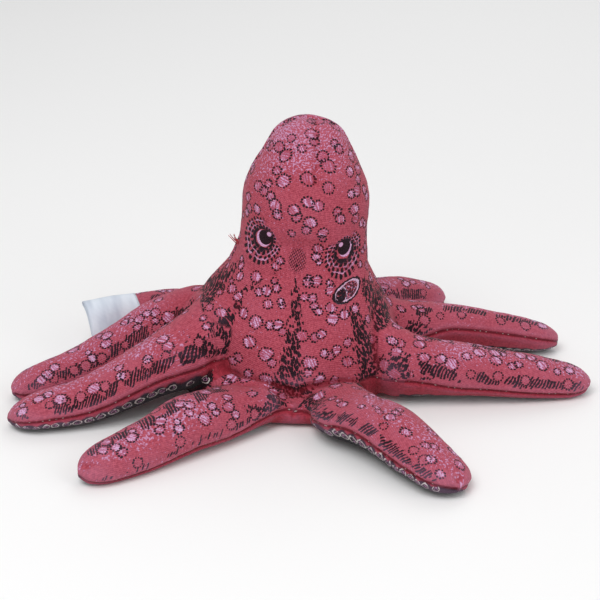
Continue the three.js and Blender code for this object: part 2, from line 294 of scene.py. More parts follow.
# Camera and lights, in metres, and the camera's sensor in millimetres
CAMERA_PLACE = (0, -0.62728, 0.31213)
CAMERA_TARGET = (0, 0.0122, 0.02741)
SENSOR_WIDTH = 36
AIM = (0, 0, 0.03)
KEY_PLACE = (-0.25, -0.45, 0.85)
KEY_SIZE = 0.7
FILL_PLACE = (0.7, -0.5, 0.45)
FILL_SIZE = 0.7
BACK_PLACE = (0.2, 0.7, 0.7)
BACK_SIZE = 0.7

# Places on the face, the room that each keeps clear of spots, and the eyes as place, way that the
# rings lengthen and side of the highlight
LEFT_EYE = (-13.6, -14.6, 65.8)
RIGHT_EYE = (16.7, -14.0, 61.4)
SIPHON = (18.3, -17.9, 45.0)
HATCHED_PATCH = (-1.1, -18.7, 58.1)
FACE_CLEAR = [(LEFT_EYE, 8.5), (RIGHT_EYE, 8.5), (SIPHON, 5.5), (HATCHED_PATCH, 4.5)]
EYES = [(LEFT_EYE, (-0.8, -0.6, 0), (1, 1, 0)), (RIGHT_EYE, (0.25, -0.97, 0), (-1, 1, 0))]

# Rings of an eye as distance, half width, dashes round it, where dashes start and are full, and turn
EYE_SCALE = 1.2
EYE_INK = [
    (3.35, 0.5, 7.0, -1.4, -0.9, 0.4), (4.3, 0.42, 19.0, -0.9, -0.3, 1.2),
    (5.5, 0.44, 25.0, -0.6, 0.0, 2.0), (6.8, 0.5, 31.0, -0.6, 0.0, 0.7),
]
EYE_LILAC = [
    (3.65, 0.2, 8.0, -1.2, -0.6, 2.2), (4.75, 0.24, 5.0, -1.0, -0.5, 0.2),
    (6.05, 0.28, 7.0, -1.1, -0.6, 1.0),
]

# Folds across the neck and belly, as x, z, depth and half width along a line
FOLDS = [
    [(-14, 64.5, 0, 2.4), (-7, 63.5, 0.8, 3), (0, 63, 1.1, 3.2), (7, 62.5, 0.9, 3), (12, 63, 0, 2.4)],
    [(-26, 53.5, 0.2, 2), (-18, 52, 1.0, 2.6), (-9, 51.5, 0.7, 2.6), (-3, 52.5, 0, 2.4)],
    [(24, 50, 0.2, 1.6), (19, 53, 0.8, 2), (11, 54, 0.4, 2.2), (6, 54.5, 0, 2)],
    [(-30, 44, 0.2, 2), (-24, 40, 0.8, 2.4), (-19, 33, 0.4, 2.4), (-17, 28, 0, 2.4)],
    [(30, 42, 0.3, 1.8), (29, 34, 1.3, 2), (29, 24, 1.4, 2), (30, 15, 0.6, 1.8)],
]

# Bands of ink flecks on the front, as x, z, half width and density along a line
FLECK_BANDS = [
    [(-0.9, 57, 0.8, 0.25), (-1.1, 50, 1.4, 0.5), (-1.5, 43, 2.2, 0.75), (-2.6, 33, 3.2, 0.95),
     (-3.4, 24, 4.2, 1), (-4.2, 15, 7.5, 1), (-4.8, 9, 11, 1), (-5, 6, 12, 1)],
    [(-15, 49, 1.0, 0.6), (-21, 44, 1.5, 0.8), (-25.8, 37.7, 2.0, 0.9), (-30, 31, 3.8, 1),
     (-33.4, 25, 6.4, 1), (-36, 19, 6.0, 1), (-37, 13, 4, 0.8)],
    [(17, 41, 1.2, 0.7), (20.9, 34.7, 2.4, 1), (24, 27, 4.0, 1), (26.5, 20, 5.6, 1), (27, 12, 6.5, 1)],
    [(-24, 52, 1.0, 0.7), (-30, 45, 1.8, 1), (-36, 40, 2.2, 1), (-44, 33, 2.4, 0.9),
     (-54, 27, 2, 0.7)],
    [(23.5, 46, 1.6, 1), (28.5, 38, 3.0, 1), (32, 31, 4.0, 1)],
    [(-25, 61, 1.4, 0.5), (-27, 57, 2.2, 0.7)],
]

# Shoulders that carry the body's slope out on to the arms: how high, how far inside the hinge and how
# thick each starts in the body, and how far along the arm it ends
SHOULDERS = {
    "left_rear": {"height": 27, "inset": 22, "girth": 12, "reach": 14, "end_girth": 10.5},
    "left_fore": {"height": 34, "inset": 19, "girth": 13, "reach": 16, "end_girth": 10.5},
    "right_fore": {"height": 24, "inset": 22, "girth": 12, "reach": 8, "end_girth": 9.5},
    "right_rear": {"height": 24, "inset": 22, "girth": 12, "reach": 8, "end_girth": 9},
}
SHOULDER_BALLS = 7

# Cloth between the roots of neighbouring arms, where the front and base panels are sewn together:
# x, y, z and radius of each filling
WEBS = [
    (-14, -39, 4.6, 4.6), (-10, -40, 4.6, 4.6), (-6, -40.6, 4.6, 4.6), (-2, -41, 4.6, 4.6),
    (2, -41, 4.6, 4.6), (6, -41, 4.6, 4.6), (10, -41, 4.6, 4.6), (14, -41, 4.6, 4.6),
    (-37, -21, 8.5, 7.2), (-34, -25, 8, 7.2), (-30, -29, 7.5, 7.2),
]


def smoothstep(x, low=0.0, high=1.0):
    """0 below low and 1 above high, smoothly between, for numbers or arrays."""
    f = np.clip((np.asarray(x, float) - low) / (high - low), 0, 1)
    return f * f * (3 - 2 * f)


def lerp(a, b, f):
    return a + (b - a) * f


def along(shares, t):
    """Values at t, from 0 to 1, on a smooth curve through evenly spaced shares."""
    shares = np.asarray(shares, float)
    last = len(shares) - 1
    place = np.clip(t, 0, 1) * last
    i = np.minimum(np.floor(place).astype(int), last - 1)

    def at(k):
        return shares[np.clip(k, 0, last)]

    first = (at(i + 1) - at(i - 1)) / 2
    second = (at(i + 2) - at(i)) / 2
    rise = at(i + 1) - at(i)
    f = place - i
    return at(i) + f * (first + f * (3 * rise - 2 * first - second + f * (first + second - 2 * rise)))


def closing(t, start):
    """How much of its girth a form keeps at t, where it closes in an ellipse from start to 1."""
    f = np.clip((np.asarray(t, float) - start) / (1 - start), 0, 1)
    return np.sqrt(1 - f * f)


def unit(v):
    return v / np.maximum(np.linalg.norm(v, axis=-1, keepdims=True), 1e-9)


class Body:
    """The outline of the head and body, by height."""

    heights = np.linspace(0, 1, 241)

    @staticmethod
    def reach(shares, t):
        return along(shares, t) * BODY_RADIUS * closing(t, CROWN_SHARE)

    @staticmethod
    def middle(t):
        lean = along(BODY_LEAN_SHARES, t)
        return np.stack([(HEAD_OFFSET + HEAD_LEAN_RIGHT) * lean, BODY_LEAN * lean], axis=-1)

    @classmethod
    def cloth_place(cls, points):
        """Each point's place on the front or back panel in millimetres: across from the panel's
        middle line, and up along the cloth from the base. Out on a shoulder the cloth runs down."""
        sides = (BODY_RIGHT_SHARES, BODY_LEFT_SHARES, BODY_DEPTH_SHARES)
        girth = sum(cls.reach(shares, cls.heights) for shares in sides) / len(sides)
        rise = np.hypot(np.gradient(girth), np.gradient(cls.heights * BODY_HEIGHT))
        up_cloth = np.cumsum(rise) - rise[0]
        t = points[:, 2] / BODY_HEIGHT
        off = points[:, :2] - cls.middle(t)
        front = off[:, 1] < 0
        angle = np.arctan2(off[:, 0], np.abs(off[:, 1]))
        across = angle * np.interp(t, cls.heights, girth)
        up = np.interp(t, cls.heights, up_cloth) - np.maximum(cls.outward(points), 0)
        return across, up, front

    @classmethod
    def outward(cls, points):
        """How far each point lies outside the outline, in millimetres."""
        t = points[:, 2] / BODY_HEIGHT
        off = points[:, :2] - cls.middle(t)
        side = np.where(off[:, 0] > 0, cls.reach(BODY_RIGHT_SHARES, t), cls.reach(BODY_LEFT_SHARES, t))
        side, depth = np.maximum(side, 1), np.maximum(cls.reach(BODY_DEPTH_SHARES, t), 1)
        return (np.hypot(off[:, 0] / side, off[:, 1] / depth) - 1) * side

    @classmethod
    def rows(cls):
        angles = np.linspace(0, 2 * np.pi, BODY_SEGMENTS, endpoint=False)
        across, back = np.cos(angles), np.sin(angles)
        rows = []
        for t in np.sin(np.linspace(0, 1, BODY_RINGS) * np.pi / 2):
            side = np.where(across > 0, cls.reach(BODY_RIGHT_SHARES, t), cls.reach(BODY_LEFT_SHARES, t))
            x, y = cls.middle(t)
            depth = cls.reach(BODY_DEPTH_SHARES, t)
            z = np.full_like(across, t * BODY_HEIGHT)
            rows.append(np.stack([x + across * side, y + back * depth, z], axis=-1))
        return rows


class Arm:
    """The line, girth and roll of one arm. Its hinge and heading come from the frame's joint."""

    def __init__(self, name):
        facts = ARMS[name]
        joint = next(j for j in frame["joints"] if j["child"] == name)
        self.name = name
        self.hinge = np.array(joint["pos_m"]) / MM
        axis = joint["axis"]
        self.start = math.atan2(axis[0], -axis[1])
        turn = (math.radians(facts["end"]) - self.start + math.pi) % (2 * math.pi) - math.pi
        self.turn = turn if abs(turn) > 1e-6 else 1e-6
        self.length = ARM_LENGTH * facts["length"]
        self.root = facts["root"]
        self.landing = facts["landing"]
        self.full_roll = math.radians(facts["roll"])
        self.wide = facts.get("wide", 1)
        self.shift = facts.get("shift", 0)
        self.sink = facts.get("sink", 0)
        self.flat = facts.get("flat", 1)
        self.hatch = facts.get("hatch", [(-0.75, -0.45, 1), (0.45, 0.75, 1)])
        self.bare = facts.get("bare", (0, 0))
        self.sole = facts.get("sole", (SOLE_SHARE, SOLE_SHARE))
        self.flecks = facts.get("flecks", 1)
        self.heading = np.array([math.cos(self.start), math.sin(self.start), 0])

    def girth(self, t):
        """Half width, and height above and below the seams."""
        swell = lerp(self.root, 1, smoothstep(t, 0, SWELL_SHARE))
        wide = lerp(1, self.wide, smoothstep(t, 0, SPREAD_SHARE))
        tucked = lerp(self.flat, 1, smoothstep(t, 0, TUCK_SHARE))
        return (
            PLUMP_WIDTH * ROOT_WIDTH * along(ARM_WIDTH_SHARES, t) * wide,
            ROOT_RADIUS * along(ARM_TOP_SHARES, t) * swell * tucked,
            ROOT_RADIUS * along(ARM_BOTTOM_SHARES, t) * swell * tucked,
        )

    def roll(self, t):
        return self.full_roll * smoothstep(t, 0, ROLL_SHARE)

    def centre(self, t):
        t = np.asarray(t, float)
        reach = self.length * np.sin(self.turn * t / 2) / (self.turn / 2)
        bearing = self.start + self.turn * t / 2
        width, _, bottom = self.girth(t)
        roll = self.roll(t)
        rest = np.hypot(width * np.sin(roll), bottom * np.cos(roll)) - PRESSED_FLAT
        height = lerp(self.hinge[2], rest, smoothstep(t, 0, self.landing))
        height = height - self.sink * (1 - smoothstep(t, 0, TUCK_SHARE))
        across = self.start + self.turn * t + math.pi / 2
        shift = self.shift * smoothstep(t, 0, SPREAD_SHARE)
        x = self.hinge[0] + reach * np.cos(bearing) + shift * np.cos(across)
        y = self.hinge[1] + reach * np.sin(bearing) + shift * np.sin(across)
        return np.stack([x, y, height], axis=-1)

    def frames(self, t):
        """Unit vectors along the arm, to its left side and up, rolled about its length."""
        t = np.asarray(t, float)
        forward = unit(self.centre(t) - self.centre(t - SLOPE_STEP_SHARE))
        side = unit(np.cross([0.0, 0.0, 1.0], forward))
        up = np.cross(forward, side)
        roll = self.roll(t)[..., None]
        rolled_side = side * np.cos(roll) + up * np.sin(roll)
        rolled_up = up * np.cos(roll) - side * np.sin(roll)
        return forward, rolled_side, rolled_up

    def rows(self):
        """Rows of points round the arm from the back of its root to its tip."""
        angles = np.linspace(0, 2 * np.pi, ARM_SEGMENTS, endpoint=False)
        across, rise = np.cos(angles), np.sin(angles)
        rows = []

        def add_row(centre, side, up, width, top, bottom):
            height = rise * np.where(rise > 0, top, bottom)
            row = centre + np.outer(across * width, side) + np.outer(height, up)
            row[:, 2] = np.maximum(row[:, 2], 0)
            rows.append(row)

        width, top, bottom = self.girth(0.0)
        level_side = np.cross([0.0, 0.0, 1.0], self.heading)
        for angle in np.linspace(np.pi, np.pi / 2, ROOT_STEPS):
            centre = self.centre(0.0) + self.heading * top * math.cos(angle)
            close = math.sin(angle)
            add_row(centre, level_side, np.array([0, 0, 1.0]), width * close, top * close, bottom * close)
        stations = np.sin(np.linspace(0.02, 1, ARM_STATIONS) * np.pi / 2)
        _, sides, ups = self.frames(stations)
        for t, centre, side, up in zip(stations, self.centre(stations), sides, ups):
            width, top, bottom = (g * closing(t, ARM_TIP_SHARE) for g in self.girth(t))
            add_row(centre, side, up, width, top, bottom)
        return rows

    def locate(self, points):
        """Each point's place on the arm: length along it, share of its length, and section x and y
        in shares of the girth there."""
        t = np.linspace(TABLE_FROM, 1, TABLE_STEPS)
        line = self.centre(t)
        line[t < 0] = self.centre(0.0) + np.outer(t[t < 0] * self.length, self.heading)
        found = np.empty(len(points), int)
        for i in range(0, len(points), TABLE_BLOCK):
            near = points[i : i + TABLE_BLOCK, None, :2] - line[None, :, :2]
            found[i : i + TABLE_BLOCK] = np.argmin((near**2).sum(-1), axis=1)
        here = t[found]
        forward, side, up = self.frames(np.maximum(here, 0))
        off = points - line[found]
        level = forward * [1, 1, 0]
        here = here + np.einsum("ij,ij->i", off, unit(level)) / self.length
        t = np.clip(here, 0, 1)
        forward, side, up = self.frames(t)
        centre = self.centre(t)
        centre[here < 0] = self.centre(0.0) + np.outer(here[here < 0] * self.length, self.heading)
        off = points - centre
        width, top, bottom = self.girth(t)
        close = np.maximum(closing(t, ARM_TIP_SHARE), LEAST_CLOSING)
        x = np.einsum("ij,ij->i", off, side) / (width * close)
        y = np.einsum("ij,ij->i", off, up)
        y = y / (np.where(y > 0, top, bottom) * close)
        return {"s": here * self.length, "t": here, "x": x, "y": y, "width": width * close,
                "top": top * close, "bottom": bottom * close}


arms = [Arm(name) for name in ARMS]


def closed_form(rows):
    """Points and faces of a closed form through rows that each go once round it."""
    count = len(rows[0])
    points = np.concatenate(rows)
    ring = np.arange(count)
    faces = []
    for i in range(len(rows) - 1):
        a, b = i * count + ring, i * count + np.roll(ring, -1)
        faces.append(np.stack([a, b, b + count, a + count], axis=-1))
    ends = [list(range(count))[::-1], list((len(rows) - 1) * count + ring)]
    return points, [list(map(int, f)) for f in np.concatenate(faces)] + [list(map(int, e)) for e in ends]


def ball_form(centre, radius):
    rows = []
    for angle in np.linspace(BALL_POLE, np.pi - BALL_POLE, BALL_RINGS):
        around = np.linspace(0, 2 * np.pi, BALL_SEGMENTS, endpoint=False)
        flat = np.sin(angle) * radius
        z = np.full_like(around, centre[2] - np.cos(angle) * radius)
        x, y = centre[0] + flat * np.cos(around), centre[1] + flat * np.sin(around)
        rows.append(np.stack([x, y, z], -1))
    return closed_form(rows)


def shoulder_forms():
    """Balls that fill each shoulder from inside the body out on to its arm."""
    forms = []
    for name, facts in SHOULDERS.items():
        arm = next(a for a in arms if a.name == name)
        root = arm.hinge[:2] / np.linalg.norm(arm.hinge[:2])
        start = np.array([*(root * (np.linalg.norm(arm.hinge[:2]) - facts["inset"])), facts["height"]])
        end = arm.centre(facts["reach"] / arm.length)
        for f in np.linspace(0, 1, SHOULDER_BALLS):
            radius = lerp(facts["girth"], facts["end_girth"], f)
            centre = lerp(start, end, f)
            centre[2] = max(centre[2], radius * 0.9)
            forms.append(ball_form(centre, radius))
    return forms


def mesh_of(name, points, faces):
    """A new mesh object from points in millimetres."""
    mesh = bpy.data.meshes.new(name)
    mesh.from_pydata((np.asarray(points) * MM).tolist(), [], faces)
    mesh.update()
    obj = bpy.data.objects.new(name, mesh)
    bpy.context.scene.collection.objects.link(obj)
    return obj


def points_of(mesh):
    co = np.empty(len(mesh.vertices) * 3, np.float32)
    mesh.vertices.foreach_get("co", co)
    return co.reshape(-1, 3).astype(float) / MM


def normals_of(mesh):
    normals = np.empty(len(mesh.vertices) * 3, np.float32)
    mesh.vertex_normals.foreach_get("vector", normals)
    return normals.reshape(-1, 3).astype(float)


def edges_of(mesh):
    edges = np.empty(len(mesh.edges) * 2, np.int32)
    mesh.edges.foreach_get("vertices", edges)
    return edges.reshape(-1, 2)


def put_points(mesh, points):
    mesh.vertices.foreach_set("co", (points * MM).astype(np.float32).ravel())
    mesh.update()


def evaluated_copy(obj):
    """A plain mesh of obj with its modifiers applied. The object itself is removed."""
    graph = bpy.context.evaluated_depsgraph_get()
    made = bpy.data.meshes.new_from_object(obj.evaluated_get(graph))
    bpy.data.objects.remove(obj)
    return made


def neighbour_mean(points, edges):
    """The mean of each point's neighbours."""
    a, b = edges[:, 0], edges[:, 1]
    count = np.bincount(a, minlength=len(points)) + np.bincount(b, minlength=len(points))
    total = np.empty_like(points)
    for axis in range(points.shape[1]):
        total[:, axis] = np.bincount(a, points[b, axis], len(points)) + np.bincount(
            b, points[a, axis], len(points)
        )
    return total / np.maximum(count, 1)[:, None]


def plain_smooth(points, edges, weight, rounds):
    weight = np.broadcast_to(weight, len(points))[:, None]
    for _ in range(rounds):
        points = points + weight * 0.5 * (neighbour_mean(points, edges) - points)
    return points


def noise_at(points, scale, seed=0.0):
    places = points * scale + [seed, 0, 0]
    return np.array([noise.noise(Vector(place)) for place in places])


def stuffed_form():
    """The head, body, shoulders and arms as one closed mesh of even small faces."""
    forms = [closed_form(Body.rows()), *(closed_form(arm.rows()) for arm in arms), *shoulder_forms()]
    forms += [ball_form(np.array(web[:3]), web[3]) for web in WEBS]
    points, faces, offset = [], [], 0
    for form_points, form_faces in forms:
        points.append(form_points)
        faces += [[i + offset for i in face] for face in form_faces]
        offset += len(form_points)
    rough = mesh_of("stuffed_form", np.concatenate(points), faces)
    remesh = rough.modifiers.new("even_faces", "REMESH")
    remesh.mode = "VOXEL"
    remesh.voxel_size = VOXEL * MM
    return evaluated_copy(rough)


def junction_share(points):
    """Nearly 1 where an arm runs smoothly into the body, and 0 away from there."""
    share = np.zeros(len(points))
    for arm in arms:
        if arm.sink:
            continue
        place = arm.locate(points)
        near = smoothstep(place["s"], *JUNCTION_START) * (1 - smoothstep(place["s"], *JUNCTION_END))
        section = np.hypot(place["x"], place["y"])
        share = np.maximum(share, near * (1 - smoothstep(section, *JUNCTION_SECTION)))
    return share


def seam_lines(points):
    """Distance in millimetres to the nearest sewn seam: the sides of the arms and of the head, the
    foot of the body, and the dart at the front of the crown."""
    found = np.full(len(points), FAR)
    for arm in arms:
        place = arm.locate(points)
        height = np.where(place["y"] > 0, place["top"], place["bottom"]) * np.abs(place["y"])
        section = np.hypot(place["x"], place["y"])
        there = (place["s"] > SEAM_START) & (section < ARM_REACH) & (np.abs(place["x"]) > 0.3)
        found = np.where(there, np.minimum(found, height), found)
    foot = (points[:, 2] < FOOT_BELOW) & (found == FAR)
    found = np.where(foot, np.abs(points[:, 2] - base_seam(points)), found)
    t = points[:, 2] / BODY_HEIGHT
    middle = Body.middle(t)
    off = points[:, :2] - middle
    head = points[:, 2] > SIDE_SEAM_FROM
    found = np.where(head, np.minimum(found, np.abs(off[:, 1])), found)
    dart = (points[:, 2] > DART_FROM) & (off[:, 1] < 0)
    return np.where(dart, np.minimum(found, np.abs(off[:, 0] - DART_OFFSET)), found)


def base_seam(points):
    """Height of the seam round the body's foot, which rises to the side seams of each arm."""
    height = np.full(len(points), float(BASE_SEAM_HEIGHT))
    for arm in arms:
        off = points[:, :2] - arm.hinge[:2]
        sideways = np.abs(off @ np.array([-arm.heading[1], arm.heading[0]]))
        near = (off @ arm.heading[:2] > FOOT_BEHIND_ARM) * (1 - smoothstep(sideways, *FOOT_BESIDE_ARM))
        height = np.maximum(height, lerp(BASE_SEAM_HEIGHT, arm.centre(0.0)[2], near))
    return height


def root_creases(points):
    """Distance in millimetres to the line in which the belly lies on an arm that is tucked under it."""
    found = np.full(len(points), FAR)
    from_body = Body.outward(points)
    for arm in arms:
        if not arm.sink:
            continue
        place = arm.locate(points)
        height = np.where(place["y"] > 0, place["top"], place["bottom"])
        from_arm = (np.hypot(place["x"], place["y"]) - 1) * height
        far = np.hypot(from_body, from_arm)
        there = (place["y"] > -0.2) & (place["s"] < ROOT_CREASE_REACH)
        found = np.where(there, np.minimum(found, far), found)
    return found


def puffed(mesh):
    """The form's points before and after a cloth simulation has puffed it between its seams."""
    points, edges = points_of(mesh), edges_of(mesh)
    points = plain_smooth(points, edges, 0.25 + 0.75 * junction_share(points), SMOOTHING_ROUNDS)
    put_points(mesh, points)
    points[:, 2] = np.where(points[:, 2] < FLOOR_BAND, 0, points[:, 2])
    slack = points
    seam = seam_lines(points)
    lift = SIMULATION_PUFF * smoothstep(seam, 0.5, 3) * smoothstep(points[:, 2], 0.5, 4)
    points = points + normals_of(mesh) * lift[:, None]
    put_points(mesh, points)
    cloth = bpy.data.objects.new("cloth_trial", mesh.copy())
    bpy.context.scene.collection.objects.link(cloth)
    put_points(cloth.data, points * SIMULATION_SCALE)
    pins = cloth.vertex_groups.new(name="seams")
    hold = np.maximum(1 - smoothstep(seam, 0.9, 2.4), 1 - smoothstep(points[:, 2], 0.6, 2))
    for weight in np.unique(hold.round(1)):
        chosen = np.nonzero(hold.round(1) == weight)[0]
        pins.add(chosen.tolist(), float(weight), "REPLACE")
    modifier = cloth.modifiers.new("puff", "CLOTH")
    for setting, value in COTTON_UNDER_PRESSURE.items():
        setattr(modifier.settings, setting, value)
    modifier.settings.effector_weights.gravity = 0
    modifier.settings.vertex_group_mass = "seams"
    modifier.collision_settings.use_collision = False
    modifier.point_cache.frame_start = 1
    modifier.point_cache.frame_end = SIMULATION_FRAMES
    scene = bpy.context.scene
    for number in range(1, SIMULATION_FRAMES + 1):
        scene.frame_set(number)
    made = evaluated_copy(cloth)
    moved = points_of(made) / SIMULATION_SCALE - points
    bpy.data.meshes.remove(made)
    scene.frame_set(1)
    far = np.linalg.norm(moved, axis=1)
    moved *= (np.minimum(far, SIMULATION_CAP) / np.maximum(far, 1e-9))[:, None]
    return slack, points + moved


def fine_form(mesh, slack, full):
    """The form with its faces divided, ready for seams and creases, and its points before puffing."""
    put_points(mesh, full)
    set_attribute(mesh, "slack", slack)
    form = bpy.data.objects.new("fine_form", mesh)
    bpy.context.scene.collection.objects.link(form)
    divide = form.modifiers.new("divide", "SUBSURF")
    divide.levels = divide.render_levels = FINE_LEVELS
    divide.boundary_smooth = "ALL"
    made = evaluated_copy(form)
    kept = np.empty(len(made.vertices) * 3, np.float32)
    made.attributes["slack"].data.foreach_get("vector", kept)
    made.attributes.remove(made.attributes["slack"])
    return made, kept.reshape(-1, 3).astype(float)


def sewn(points, normals, slack):
    """Draws the cloth in along its seams, with a slight lip on both sides, and where the belly lies
    on the tucked arms."""
    seam = seam_lines(slack)
    groove = SEAM_DEPTH * np.exp(-((seam / SEAM_WIDTH) ** 2))
    groove = groove + TUCK_DEPTH * np.exp(-((root_creases(slack) / TUCK_WIDTH) ** 2))
    lip = SEAM_LIP * np.exp(-(((seam - 3 * SEAM_WIDTH) / SEAM_WIDTH) ** 2))
    pucker = noise_at(points, PUCKER_SCALE)
    depth = (groove - lip) * (1 + 0.5 * pucker) * smoothstep(points[:, 2], 0.3, 1.2)
    return points - normals * depth[:, None]


def beside_line(points, line):
    """For each stretch of a line on the front of the toy: how far each point is from it, and the two
    values that the line has there, besides x and z."""
    flat = points[:, [0, 2]]
    for (x0, z0, *first), (x1, z1, *second) in zip(line, line[1:]):
        a, b = np.array([x0, z0]), np.array([x1, z1])
        f = np.clip((flat - a) @ (b - a) / ((b - a) @ (b - a)), 0, 1)
        far = np.linalg.norm(flat - (a + f[:, None] * (b - a)), axis=1)
        yield far, *(lerp(here, there, f) for here, there in zip(first, second))


def folded(points, normals):
    """Soft folds across the front of the neck and belly, drawn in along their lines."""
    drop = np.zeros(len(points))
    for line in FOLDS:
        for far, depth, half_width in beside_line(points, line):
            drop = np.maximum(drop, depth * np.exp(-((far / half_width) ** 2)))
    return points - normals * (drop * (points[:, 1] < 0))[:, None]


def lumpy(points, normals):
    """The slight unevenness of stuffing under cloth."""
    rise = LUMP_HEIGHT * noise_at(points, LUMP_SCALE) + DENT_HEIGHT * noise_at(points, DENT_SCALE)
    return points + normals * (rise * smoothstep(points[:, 2], 0.5, 4))[:, None]


def owners(points, places):
    """Which arm each point belongs to, or -1 for the body."""
    best = np.full(len(points), FAR)
    owner = np.full(len(points), -1)
    for number, (arm, place) in enumerate(zip(arms, places)):
        beyond = (points - arm.hinge) @ arm.heading > CUT_AT
        section = np.hypot(place["x"], place["y"])
        inside = np.where(place["s"] > FREE_FROM, place["s"] < arm.length * 1.1, section < ARM_REACH)
        height = np.where(place["y"] > 0, place["top"], place["bottom"])
        far = np.hypot(place["x"] * place["width"], place["y"] * height)
        mine = beyond & inside & (far < best) & (place["s"] > 0)
        owner[mine] = number
        best[mine] = far[mine]
    return owner


def arm_cloth(arm, place):
    """An arm's cloth coordinates in millimetres: along it, across from the middle line of the panel,
    half the panel's width there, and the height above or below the seams."""
    angle = np.arctan2(place["y"], place["x"])
    top = place["y"] > 0
    height = np.where(top, place["top"], place["bottom"])
    girth = (place["width"] + height) / 2
    across = np.where(top, np.pi / 2 - angle, angle + np.pi / 2) * girth
    return place["s"], across, girth * np.pi / 2, place["y"] * height


def scatter(rng, low, high, fits, count, radii, room):
    """Round marks in clusters of one to four, as (across, up, radius), inside the box from low to
    high where fits says so."""
    marks = []

    def add(across, up, radius, gap):
        inside = low[0] < across < high[0] and low[1] < up < high[1] and fits(across, up, radius)
        if inside and all(math.hypot(across - m[0], up - m[1]) > radius + m[2] + gap for m in marks):
            marks.append((across, up, radius))
            return True
        return False

    for _ in range(count * 8):
        if len(marks) >= count:
            break
        across, up = rng.uniform(low[0], high[0]), rng.uniform(low[1], high[1])
        radius = rng.uniform(*radii)
        if not add(across, up, radius, room):
            continue
        for _ in range(rng.integers(0, 4)):
            turn, other = rng.uniform(0, 2 * math.pi), rng.uniform(radii[0], radii[1]) * 0.85
            reach = radius + other + CLUSTER_GAP
            add(across + reach * math.cos(turn), up + reach * math.sin(turn), other, CLUSTER_GAP * 1.2)
    return marks


class Marks:
    """Round printed marks, kept in layers so that the marks of one layer stand well apart. Each layer
    is a vector attribute: the place in the mark in shares of its radius, and the number of dots round
    it plus how strongly it is filled."""

    def __init__(self, points, normals):
        self.points, self.normals = points, normals
        self.tree = KDTree(len(points))
        for i, p in enumerate(points):
            self.tree.insert(p, i)
        self.tree.balance()
        self.layers = [np.full((len(points), 3), OUTSIDE_MARK) for _ in range(MARK_LAYERS)]
        self.placed = [[] for _ in range(MARK_LAYERS)]

    def place(self, centre, toward, radius, fill, stretch=1.0):
        """Puts a mark on the point centre, with its first axis toward a direction."""
        spot = self.points[centre]
        reach = radius * max(stretch, 1) + MARK_MARGIN
        for layer, placed in zip(self.layers, self.placed):
            if all(np.linalg.norm(spot - other) > reach + width for other, width in placed):
                break
        else:
            return
        placed.append((spot, reach))
        normal = self.normals[centre]
        first = unit(toward - normal * (toward @ normal))
        second = np.cross(normal, first)
        near = [i for _, i, _ in self.tree.find_range(spot, reach)]
        off = self.points[near] - spot
        facing = self.normals[near] @ normal > 0.1
        dots = max(6, round(2 * math.pi * radius / DOT_PITCH))
        layer[near, 0] = np.where(facing, off @ first / (radius * stretch), OUTSIDE_MARK)
        layer[near, 1] = np.where(facing, off @ second / radius, OUTSIDE_MARK)
        layer[near, 2] = dots + fill


def pick_on(coordinates, chosen):
    """A search tree over two cloth coordinates of the chosen points."""
    numbers = np.nonzero(chosen)[0]
    tree = KDTree(len(numbers))
    for i in numbers:
        tree.insert((*coordinates[i], 0), int(i))
    tree.balance()
    return tree


